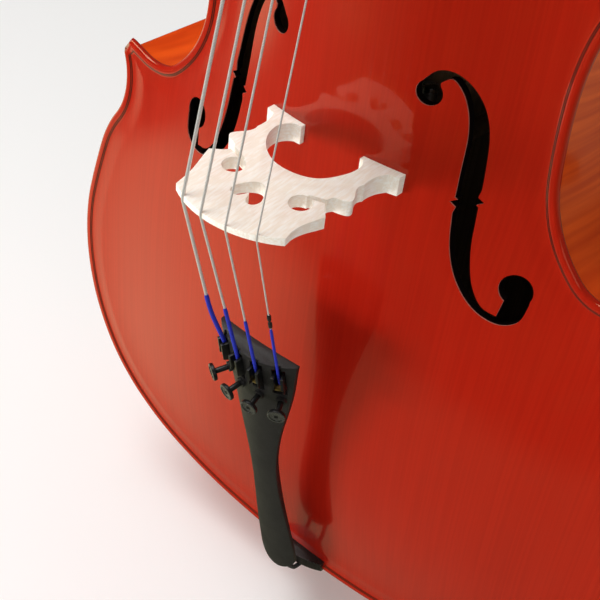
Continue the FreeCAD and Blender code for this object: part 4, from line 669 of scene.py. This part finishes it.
# Painted shade: the rest of each f-hole's wall is near black and barely reflects, standing in for the dark inside the
# body.
hole_wall_painted_shade = bare_wood("f_hole_painted_shade", (0.005, 0.002, 0.0015), (0.002, 0.001, 0.001), (900.0, 500.0, 12.0), 0.9)
hole_wall_painted_shade.node_tree.nodes["Principled BSDF"].inputs["Specular IOR Level"].default_value = 0.05
front_plate = carved_plate("front_plate", -1, FRONT, RIB_FRONT, TOP_ARCH, (1, -1),
                           (spruce, inner_wood, hole_lip_painted_highlight, hole_wall_painted_shade))
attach(front_plate, "cello")
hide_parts("top_plate")

# ---- Back plate --------------------------------------------------------------------------------
# The back is carved from two pieces of flamed maple, arched like the front, with no holes.
# It is built without the round button that carries the neck's heel.
flamed = varnished("maple_varnish", (0.62, 0.065, 0.012), (0.30, 0.012, 0.005), (9.0, 60.0, 190.0), 0.55, 0.3,
                   0.03)
back_plate = carved_plate("back_plate_wood", 1, BACK, RIB_BACK, BACK_ARCH, (), (flamed, inner_wood))
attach(back_plate, "cello")
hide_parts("back_plate")

# ---- Ribs --------------------------------------------------------------------------------------
# Six thin strips of flamed maple, bent on a hot iron to the outline and glued to the blocks.
# They are varnished a brighter orange than the belly and the back: painted light, standing in for the light that falls
# on the ribs.
rib_painted_light_varnish = varnished("rib_painted_light", (0.86, 0.115, 0.010), (0.50, 0.030, 0.004), (60.0, 7.0, 190.0), 0.5, 0.25, 0.03, 0.08)
corner_lines = [(np.array(lower_tip), np.array(lower_corner)), (np.array(upper_tip), np.array(upper_corner))]


def beyond_corner(point, inset):
    for tip, corner in corner_lines:
        along = (corner - tip) / np.linalg.norm(corner - tip)
        out_way = np.array((along[1], -along[0]))
        out_way *= np.sign(out_way[0])
        gap = point - tip
        if gap @ out_way > -inset and abs(gap @ along) < 40.0 and abs(gap @ out_way) < 20.0:
            return True
    return False


for run in ("lower", "waist", "upper"):
    for side, word in ((1, "treble"), (-1, "bass")):
        outer, ways = run_points(run, 4.0, 2.0)
        inner, ways = run_points(run, 5.3, 2.0)
        keep = [i for i in range(len(outer)) if not beyond_corner(outer[i], 4.0)]
        if run == "lower":
            keep = [i for i in keep if not (outer[i][0] < 11.5)]
        if run == "upper":
            keep = [i for i in keep if not (outer[i][0] < 15.5)]
        verts, faces = [], []
        for i in keep:
            for x, z in (outer[i], inner[i]):
                for y in (RIB_FRONT + 0.02, RIB_BACK - 0.02):
                    verts.append((side * x, y, BODY_BOTTOM + z))
        for k in range(len(keep) - 1):
            a, b = 4 * k, 4 * k + 4
            for p, q in ((0, 1), (1, 3), (3, 2), (2, 0)):
                faces.append((a + p, a + q, b + q, b + p))
        last = 4 * (len(keep) - 1)
        faces += [(0, 2, 3, 1), (last, last + 1, last + 3, last + 2)]
        if side > 0:
            faces = [face[::-1] for face in faces]
        rib = mesh_object("rib_%s_%s_wood" % (run, word), verts, faces, (rib_painted_light_varnish, inner_wood))
        rib.data.polygons.foreach_set("material_index", [0 if i % 4 == 0 else 1 for i in range(len(faces) - 2)]
                                      + [1, 1])
        work = bmesh.new()
        work.from_mesh(rib.data)
        bmesh.ops.recalc_face_normals(work, faces=work.faces)
        work.to_mesh(rib.data)
        work.free()
        bpy.ops.object.select_all(action="DESELECT")
        rib.select_set(True)
        bpy.context.view_layer.objects.active = rib
        bpy.ops.object.shade_smooth_by_angle(angle=math.radians(35))
        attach(rib, "cello")
        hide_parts("rib_%s_%s" % (run, word))

# ---- Purfling ----------------------------------------------------------------------------------
# Three thin strips, black, pale and black, inlaid in a groove round the edge of both plates.
# They follow the dip of the channel, and stop at the saddle and the neck.
purfling_black = bare_wood("purfling_black", (0.030, 0.004, 0.003), (0.010, 0.002, 0.002), (900.0, 500.0, 40.0), 0.3)
purfling_pale = varnished("purfling_pale", (0.30, 0.020, 0.008), (0.10, 0.006, 0.003), (500.0, 500.0, 30.0), 0.4, 0.2)
lines = (4.55, 5.05, 5.55, 6.05)
base, base_out = outline_loop(0.0, 2.0)
innermost = base - base_out * lines[-1]
clear, _ = to_rim(innermost)
chain = [i for i in range(len(base)) if clear[i] > lines[-1] - 0.04]
verts, faces, index = [], [], []
for sign, level, crown in ((-1, FRONT, TOP_ARCH), (1, BACK, BACK_ARCH)):
    first = len(verts)
    for i in chain:
        for inset in lines:
            x, z = base[i] - base_out[i] * inset
            y = level + sign * (float(arch_height(x, z, crown)) + float(edge_profile(inset)) + 0.05)
            verts.append((x, y, z + BODY_BOTTOM))
    for k in range(len(chain)):
        a, b = first + 4 * k, first + 4 * ((k + 1) % len(chain))
        middle = base[chain[k]]
        if sign < 0 and (abs(middle[0]) < 25.0 and (middle[1] < 30.0 or middle[1] > 700.0)):
            continue
        for strip in range(3):
            face = (a + strip, b + strip, b + strip + 1, a + strip + 1)
            faces.append(face if sign < 0 else face[::-1])
            index.append(1 if strip == 1 else 0)
inlay = mesh_object("purfling_inlay", verts, faces, (purfling_black, purfling_pale), index)
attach(inlay, "cello")
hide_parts("purfling")

# ---- Inside the body ---------------------------------------------------------------------------
# Spruce blocks, linings, the bass bar and the sound post, left bare and brown with age.
for name in ("bottom_block", "top_block", "corner_blocks", "linings", "bass_bar", "sound_post"):
    node_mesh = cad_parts[name].data
    node_mesh.materials.clear()
    node_mesh.materials.append(inner_wood)


# ---- Bridge ------------------------------------------------------------------------------------
# Cut from one board of quarter-sawn maple, thinned towards the crown, and left bare.  Its feet
# are fitted to the arch, and every edge is eased with a small chamfer.
def eased(cad_name, name, body, width, materials, angle=38.0, segments=2, cleanup=0.6):
    """A copy of a CAD piece with its facets joined up and its sharp edges eased."""
    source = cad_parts[cad_name]
    mesh = source.data.copy()
    mesh.name = name
    piece = bpy.data.objects.new(name, mesh)
    scene.collection.objects.link(piece)
    work = bmesh.new()
    work.from_mesh(mesh)
    bmesh.ops.remove_doubles(work, verts=work.verts, dist=0.000004)
    bmesh.ops.dissolve_limit(work, angle_limit=math.radians(cleanup), verts=work.verts, edges=work.edges)
    bmesh.ops.recalc_face_normals(work, faces=work.faces)
    work.to_mesh(mesh)
    work.free()
    if mesh.has_custom_normals:
        piece.data.attributes.remove(piece.data.attributes["custom_normal"])
    mesh.materials.clear()
    for material in materials:
        mesh.materials.append(material)
    mesh.polygons.foreach_set("material_index", [0] * len(mesh.polygons))
    bpy.ops.object.select_all(action="DESELECT")
    piece.select_set(True)
    bpy.context.view_layer.objects.active = piece
    if width:
        edge = piece.modifiers.new("eased", "BEVEL")
        edge.width = width * MM
        edge.segments = segments
        edge.limit_method = "ANGLE"
        edge.angle_limit = math.radians(angle)
        edge.harden_normals = False
        bpy.ops.object.modifier_apply(modifier=edge.name)
    bpy.ops.object.shade_smooth_by_angle(angle=math.radians(angle))
    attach(piece, body)
    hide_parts(cad_name)
    return piece


maple = bare_wood("bridge_maple", (1.0, 0.96, 0.87), (0.86, 0.73, 0.56), (900.0, 110.0, 900.0), 0.5, 420.0)
bridge = eased("bridge", "bridge_wood", "cello", 0.32, (maple,))



# ---- Tailpiece ---------------------------------------------------------------------------------
# Moulded in black composite, arched across, with four tuners let into slots that go right
# through its head.  It hangs from the strings and pulls on a cord round the endpin's collar.
def worked(name, colour, other, rough, rough_worn, grain=(500.0, 500.0, 500.0), bump=0.15, size=60.0, **inputs):
    """A solid finish: two near colours along its grain, worn patches that change the gloss, dust."""
    material, shader = surface(name, colour, rough, **inputs)
    tree = material.node_tree
    place = node(tree, "TexCoord")
    lay = node(tree, "Group")
    lay.node_tree = streaks
    lay.inputs["Squeeze"].default_value = grain
    used = node(tree, "Group")
    used.node_tree = wear
    used.inputs["Size"].default_value = size
    blend = node(tree, "Mix", {6: (*colour, 1.0), 7: (*other, 1.0)}, data_type="RGBA")
    dust = node(tree, "Math", {1: 0.10}, operation="MULTIPLY")
    dusty = node(tree, "Mix", {7: (0.5, 0.49, 0.47, 1.0)}, data_type="RGBA")
    gloss = node(tree, "MapRange", {"To Min": rough, "To Max": rough_worn})
    rise = node(tree, "Bump", {"Strength": bump, "Distance": 0.0001})
    wire(tree, (place, "Object", lay, "Vector"), (place, "Object", used, "Vector"), (lay, "Streak", blend, "Factor"),
         (used, "Dust", dust, 0), (dust, 0, dusty, "Factor"), (blend, 2, dusty, 6), (dusty, 2, shader, "Base Color"),
         (used, "Rubbed", gloss, "Value"), (gloss, 0, shader, "Roughness"), (lay, "Fine", rise, "Height"),
         (rise, "Normal", shader, "Normal"))
    return material


composite = worked("tail_composite", (0.020, 0.018, 0.0175), (0.012, 0.011, 0.011), 0.40, 0.50,
                   (1500.0, 1500.0, 1500.0), 0.35, 45.0, Specular_IOR_Level=0.32)
tailpiece = eased("tailpiece", "tailpiece_moulding", "cello", 0.5, (composite,), 42.0)

# ---- Fine tuners -------------------------------------------------------------------------------
# Each is a black forked lever on a steel pin.  A thumb screw pushes its long arm down, which
# draws the string's ball back.  The screw's disc has a dished, polished face.
black_metal = worked("tuner_black", (0.007, 0.007, 0.007), (0.004, 0.004, 0.004), 0.28, 0.42,
                     (2500.0, 2500.0, 2500.0), 0.1, 160.0, Specular_IOR_Level=0.35)
polished = worked("tuner_polish", (0.20, 0.20, 0.205), (0.15, 0.15, 0.155), 0.22, 0.36, (2500.0, 300.0, 2500.0), 0.1,
                  200.0, Metallic=0.9)
steel = worked("steel", (0.56, 0.56, 0.57), (0.46, 0.46, 0.47), 0.22, 0.38, (1200.0, 1200.0, 60.0), 0.1, 90.0,
               Metallic=1.0)
brass = worked("brass", (0.62, 0.43, 0.16), (0.50, 0.33, 0.11), 0.28, 0.42, (2000.0, 2000.0, 2000.0), 0.1, 120.0,
               Metallic=1.0)
for tone in "cgda":
    eased("tuner_lever_" + tone, "tuner_fork_" + tone, "tuner_lever_" + tone, 0.35, (black_metal,), 30.0)
    eased("tuner_screw_" + tone, "tuner_shank_" + tone, "tuner_screw_" + tone, 0.15, (black_metal,), 30.0)
    knob = eased("tuner_knob_" + tone, "tuner_disc_" + tone, "tuner_knob_" + tone, 0.25, (black_metal, polished), 30.0)
    lowest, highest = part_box("tuner_knob_" + tone)
    share = {"c": -27.0, "g": -9.0, "d": 9.0, "a": 27.0}[tone]
    outward = Vector((math.sin(math.radians(share)), -math.cos(math.radians(share)), 0.0))
    outward = Matrix.Rotation(math.radians(13.0), 3, "X") @ outward
    reach = max(v.co @ outward for v in knob.data.vertices)
    for face in knob.data.polygons:
        if face.normal @ outward > 0.6 and face.center @ outward > reach - 0.0009:
            face.material_index = 1
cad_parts["tuner_pins"].data.materials.clear()
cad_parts["tuner_pins"].data.materials.append(steel)
for tone in "cgda":
    eased("string_ball_" + tone, "string_end_" + tone, "tuner_lever_" + tone, 0.3, (brass,), 30.0)

# ---- Strings -----------------------------------------------------------------------------------
# Steel cores wound with flat ribbon, the thickest at the bass side, bent over the bridge and the
# nut.  Their tail ends are wrapped in blue silk, and the thinnest carries a slit black tube.
TONES = {
    "c": (0.95, ((-19.88, -134.17, 277.52), (-21.77, -149.48, 313.84), (-23.5, -173.22, 398.6),
                 (-11.0, -45.45, 1076.11), (-4.5, -32.0, 1104.14)), (160.0, 9.0, 9.0)),
    "g": (0.78, ((-6.85, -138.29, 276.56), (-7.83, -176.58, 398.6), (-3.67, -46.26, 1076.26),
                 (-1.5, -16.73, 1158.28)), (9.0, 9.0)),
    "d": (0.62, ((6.85, -138.29, 276.56), (7.83, -175.73, 398.6), (3.67, -46.22, 1076.25),
                 (1.5, -7.11, 1184.99)), (9.0, 9.0)),
    "a": (0.48, ((19.88, -134.17, 277.52), (23.5, -170.5, 398.6), (11.0, -45.31, 1076.08),
                 (4.5, -23.92, 1131.13)), (9.0, 9.0)),
}


def string_path(corners, bends, step=4.0):
    """Points along straight runs joined by round bends, close together in the bends."""
    corners = [Vector(c) for c in corners]
    path = [corners[0]]
    for i, radius in enumerate(bends):
        before, at, after = corners[i], corners[i + 1], corners[i + 2]
        a, b = (at - before).normalized(), (after - at).normalized()
        angle = a.angle(b)
        back = radius * math.tan(angle / 2)
        start, end = at - a * back, at + b * back
        centre = start + (b - a * a.dot(b)).normalized() * radius
        steps = 12
        for k in range(steps + 1):
            turned = Matrix.Rotation(angle * k / steps, 3, a.cross(b)) @ (start - centre)
            path.append(centre + turned)
    path.append(corners[-1])
    full = []
    for p, q in zip(path, path[1:]):
        parts = max(1, int((q - p).length / 60.0))
        full += [p.lerp(q, k / parts) for k in range(parts)]
    return full + [path[-1]]


def round_cord(name, path, radius, material, sides=16, start_taper=0.0, end_taper=0.0):
    """A round cord along a path, closed at its ends, with UVs in millimetres along and turns round."""
    verts, faces, uvs = [], [], []
    lengths = [0.0]
    for p, q in zip(path, path[1:]):
        lengths.append(lengths[-1] + (q - p).length)
    side_way = Vector((1.0, 0.0, 0.0))
    for i, p in enumerate(path):
        along = (path[min(i + 1, len(path) - 1)] - path[max(i - 1, 0)]).normalized()
        side_way = (side_way - along * side_way.dot(along)).normalized()
        up = along.cross(side_way)
        size = radius(lengths[i], lengths[-1]) if callable(radius) else radius
        for k in range(sides):
            angle = 2 * math.pi * k / sides
            verts.append(tuple(p + (side_way * math.cos(angle) + up * math.sin(angle)) * size))
    for i in range(len(path) - 1):
        for k in range(sides):
            n = (k + 1) % sides
            faces.append((i * sides + k, i * sides + n, (i + 1) * sides + n, (i + 1) * sides + k))
            uvs.append(((lengths[i], k / sides), (lengths[i], (k + 1) / sides),
                        (lengths[i + 1], (k + 1) / sides), (lengths[i + 1], k / sides)))
    last = (len(path) - 1) * sides
    faces += [tuple(range(sides))[::-1], tuple(last + k for k in range(sides))]
    uvs += [tuple((0.0, k / sides) for k in range(sides)), tuple((lengths[-1], k / sides) for k in range(sides))]
    cord = mesh_object(name, verts, faces, (material,))
    layer = cord.data.uv_layers.new(name="along")
    layer.data.foreach_set("uv", [c for face in uvs for uv in face for c in uv])
    work = bmesh.new()
    work.from_mesh(cord.data)
    bmesh.ops.recalc_face_normals(work, faces=work.faces)
    work.to_mesh(cord.data)
    work.free()
    bpy.ops.object.select_all(action="DESELECT")
    cord.select_set(True)
    bpy.context.view_layer.objects.active = cord
    bpy.ops.object.shade_smooth_by_angle(angle=math.radians(50))
    return cord


def wound(name, colour, other, pitch, lean, strength, rough, **inputs):
    """A surface wrapped in close turns: light and dark bands along the cord's own length."""
    material, shader = surface(name, colour, rough, **inputs)
    tree = material.node_tree
    along = node(tree, "UVMap", uv_map="along")
    place = node(tree, "TexCoord")
    stretch = node(tree, "Mapping", {"Scale": (1.0 / pitch, lean, 1.0)})
    turns = node(tree, "TexWave", {"Scale": 0.3183, "Distortion": 0.0}, wave_type="BANDS", bands_direction="DIAGONAL")
    used = node(tree, "Group")
    used.node_tree = wear
    used.inputs["Size"].default_value = 120.0
    tint = node(tree, "Mix", {6: (*other, 1.0), 7: (*colour, 1.0)}, data_type="RGBA")
    gloss = node(tree, "MapRange", {"To Min": rough, "To Max": min(1.0, rough + 0.15)})
    rise = node(tree, "Bump", {"Strength": strength, "Distance": 0.00008})
    wire(tree, (along, "UV", stretch, "Vector"), (stretch, 0, turns, "Vector"), (turns, "Fac", tint, "Factor"),
         (tint, 2, shader, "Base Color"), (place, "Object", used, "Vector"), (used, "Rubbed", gloss, "Value"),
         (gloss, 0, shader, "Roughness"), (turns, "Fac", rise, "Height"), (rise, "Normal", shader, "Normal"))
    return material


winding = wound("string_winding", (0.86, 0.84, 0.79), (0.60, 0.58, 0.54), 0.35, 0.5, 0.25, 0.34, Metallic=0.45)
silk_thread = wound("blue_silk", (0.030, 0.050, 0.62), (0.008, 0.012, 0.20), 0.42, 1.0, 0.8, 0.55,
                    Specular_IOR_Level=0.15)
black_rubber = worked("tube_rubber", (0.012, 0.012, 0.012), (0.02, 0.02, 0.02), 0.5, 0.6, (900.0, 900.0, 900.0))
silks = []
for tone, (radius, corners, bends) in TONES.items():
    path = string_path(corners, bends)
    string = round_cord("wound_string_" + tone, path, 0.96 * radius, winding)
    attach(string, "cello")
    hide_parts("string_" + tone)
    fine = [path[0]]
    length, limit = 0.0, 54.0
    for p, q in zip(path, path[1:]):
        gap = (q - p).length
        parts = max(1, int(gap / 1.0))
        for k in range(1, parts + 1):
            if length + gap * k / parts <= limit:
                fine.append(p.lerp(q, k / parts))
        length += gap
        if length > limit:
            break
    random.seed(tone)
    lumps = [random.uniform(-0.05, 0.05) for _ in range(200)]

    def silk_radius(at, whole, radius=radius, lumps=lumps):
        ends = min(at / 1.5, (whole - at) / 2.5, 1.0)
        return radius + 0.08 + (0.27 + lumps[int(at)] * 0.8) * max(ends, 0.0)

    silks.append(round_cord("silk_" + tone, fine, silk_radius, silk_thread, 18))
bpy.ops.object.select_all(action="DESELECT")
for silk in silks:
    silk.select_set(True)
bpy.context.view_layer.objects.active = silks[0]
bpy.ops.object.join()
silk = silks[0]
silk.name = "silk_wrapping"
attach(silk, "cello")
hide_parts("string_silk")

start, crown_point = Vector(TONES["a"][1][0]), Vector(TONES["a"][1][1])
along = (crown_point - start).normalized()
first = start + along * 54.3
sleeve_path = [first + along * (11.0 * k / 44) for k in range(45)]


def sleeve_radius(at, whole):
    """Two short beads of rubber with a slim neck between them."""
    end = min(at, whole - at)
    neck_gap = abs(at - whole / 2)
    bead = 1.12 if neck_gap > 1.3 else 0.62
    return 0.56 + (bead - 0.56) * min(1.0, (end / 0.5)) ** 0.5 if end < 0.5 else bead


sleeve = round_cord("string_sleeve", sleeve_path, sleeve_radius, black_rubber, 18)
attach(sleeve, "string_tube")
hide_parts("string_tube")


# ---- Saddle, fingerboard and nut ---------------------------------------------------------------
# Polished ebony: the saddle let into the belly's edge, the long board glued to the neck, and the
# nut at its end.  The wood is black with a few brown streaks and fine open pores.
ebony = worked("ebony", (0.016, 0.012, 0.010), (0.007, 0.005, 0.005), 0.24, 0.36, (700.0, 700.0, 14.0), 0.3, 30.0,
               Specular_IOR_Level=0.5)
eased("saddle", "saddle_ebony", "cello", 0.5, (ebony,), 30.0)
eased("fingerboard", "fingerboard_ebony", "cello", 0.7, (ebony,), 35.0)
eased("nut", "nut_ebony", "cello", 0.4, (ebony,), 35.0)

# ---- Neck and scroll ---------------------------------------------------------------------------
# One piece of maple: heel, shaft, pegbox and a carved volute of a little over two turns whose sides
# step out to the eye.  The whole neck is varnished.
neck_wood = varnished("neck_varnish", (0.60, 0.070, 0.012), (0.28, 0.014, 0.005), (60.0, 9.0, 170.0), 0.45, 0.3, 0.03)
SLOPE = 0.18083850772709179
to_body = Matrix.Translation((0.0, -44.14, 1079.934)) @ Matrix.Rotation(-SLOPE, 4, "X")
neck = eased("neck", "neck_maple", "cello", 0.0, (neck_wood,), 40.0, 1, 0.2)
work = bmesh.new()
work.from_mesh(neck.data)
cut_at = to_body @ Vector((0.0, 0.0, 134.0))
cut_way = to_body.to_3x3() @ Vector((0.0, 0.0, 1.0))
bmesh.ops.bisect_plane(work, geom=work.verts[:] + work.edges[:] + work.faces[:], plane_co=cut_at * MM,
                       plane_no=cut_way, clear_outer=True)
bmesh.ops.holes_fill(work, edges=[e for e in work.edges if e.is_boundary], sides=0)
bmesh.ops.recalc_face_normals(work, faces=work.faces)
work.to_mesh(neck.data)
work.free()
EYE_Z, EYE_Y, OUTER, TURNS = 160.0, 25.5, 30.0, 2.35
verts, faces = [], []
steps, per_turn = int(TURNS * 72), 72


def volute_radius(step):
    return OUTER * math.exp(-0.88 * max(step, 0) / per_turn) - 0.6 * step / steps


def volute_width(step):
    share = step / steps
    return 14.0 + 14.5 * share ** 1.1


for step in range(steps + 1):
    angle = math.radians(-128.0) + 2 * math.pi * step / per_turn
    r = volute_radius(step)
    inner_r = volute_radius(step + per_turn) if step + per_turn <= steps else 0.0
    w = volute_width(step)
    profile = [(r - 1.6, w * 0.5), (r, 0.0)]
    half = [(r, 0.8), (r - 1.5, w * 0.42), (r - 0.3, w - 2.2), (r - 0.2, w - 1.4), (r - 1.2, w), (r - 2.6, w - 0.1),
            (max(inner_r - 0.5, 0.0) + (r - inner_r) * 0.45, w - 2.6), (max(inner_r - 1.2, 0.0), w - 1.8)]
    for side in (1, -1):
        for radius, x in half:
            z = EYE_Z + radius * math.sin(angle)
            y = EYE_Y - radius * math.cos(angle)
            verts.append(tuple(to_body @ Vector((side * x, y, z))))
row = 16
for step in range(steps):
    a, b = step * row, (step + 1) * row
    for k in range(7):
        faces.append((a + k, a + k + 1, b + k + 1, b + k))
        faces.append((a + 8 + k, b + 8 + k, b + 9 + k, a + 9 + k))
    faces.append((a, b, b + 8, a + 8))
faces.append(tuple(range(8)) + tuple(range(15, 7, -1)))
last = steps * row
faces.append(tuple(last + k for k in range(7, -1, -1)) + tuple(last + k for k in range(8, 16)))
scroll = mesh_object("scroll_volute", verts, faces, (neck_wood,))
eyes = []
for side in (1, -1):
    bpy.ops.mesh.primitive_uv_sphere_add(segments=32, ring_count=16, radius=1.0, location=(0, 0, 0))
    eye = bpy.context.object
    r, w = volute_radius(steps), volute_width(steps)
    place = to_body @ Matrix.Translation((side * (w - 1.2), EYE_Y, EYE_Z)) @ Matrix.Diagonal((2.6, r, r, 1.0))
    eye.data.transform(Matrix.Scale(MM, 4) @ place)
    eye.data.materials.append(neck_wood)
    eyes.append(eye)
bpy.ops.object.select_all(action="DESELECT")
for part in (neck, scroll, *eyes):
    part.select_set(True)
bpy.context.view_layer.objects.active = neck
bpy.ops.object.join()
bpy.ops.object.shade_smooth_by_angle(angle=math.radians(35))

# ---- Pegs --------------------------------------------------------------------------------------
# Turned ebony pegs, tapered to fit their holes, each with a flattened heart-shaped head and a few
# turns of its string round the shank.
for tone in "cgda":
    eased("peg_" + tone, "peg_ebony_" + tone, "peg_" + tone, 0.4, (ebony,), 35.0)
    eased("peg_windings_" + tone, "peg_turns_" + tone, "peg_" + tone, 0.0, (steel,), 60.0)

# ---- Tail cord and endpin ----------------------------------------------------------------------
# A plaited cord from two brass nuts in the tailpiece to the collar.  The endpin is a steel rod in
# a turned collar with a metal ferrule, a thumb screw and a rubber foot.
cord_braid = worked("tail_cord_braid", (0.020, 0.020, 0.022), (0.05, 0.05, 0.052), 0.6, 0.7, (1600.0, 1600.0, 1600.0),
                    0.8, 90.0)
foot_rubber = worked("foot_rubber", (0.022, 0.021, 0.020), (0.035, 0.034, 0.032), 0.7, 0.8, (700.0, 700.0, 700.0), 0.4,
                     60.0)
eased("tail_cord", "tail_cord_loop", "cello", 0.0, (cord_braid,), 60.0)
eased("tail_cord_nuts", "tail_cord_ends", "cello", 0.3, (brass,), 30.0)
eased("endpin_collar", "endpin_collar_ebony", "cello", 0.4, (ebony,), 30.0)
eased("endpin_ferrule", "endpin_ferrule_metal", "cello", 0.3, (steel,), 30.0)
eased("endpin_rod", "endpin_rod_metal", "endpin", 0.5, (steel,), 30.0)
eased("endpin_tip", "endpin_foot_rubber", "endpin", 0.6, (foot_rubber,), 30.0)
eased("clamp_screw", "clamp_screw_metal", "clamp_screw", 0.2, (steel,), 30.0)
eased("clamp_knob", "clamp_knob_metal", "clamp_knob", 0.4, (black_metal,), 25.0)
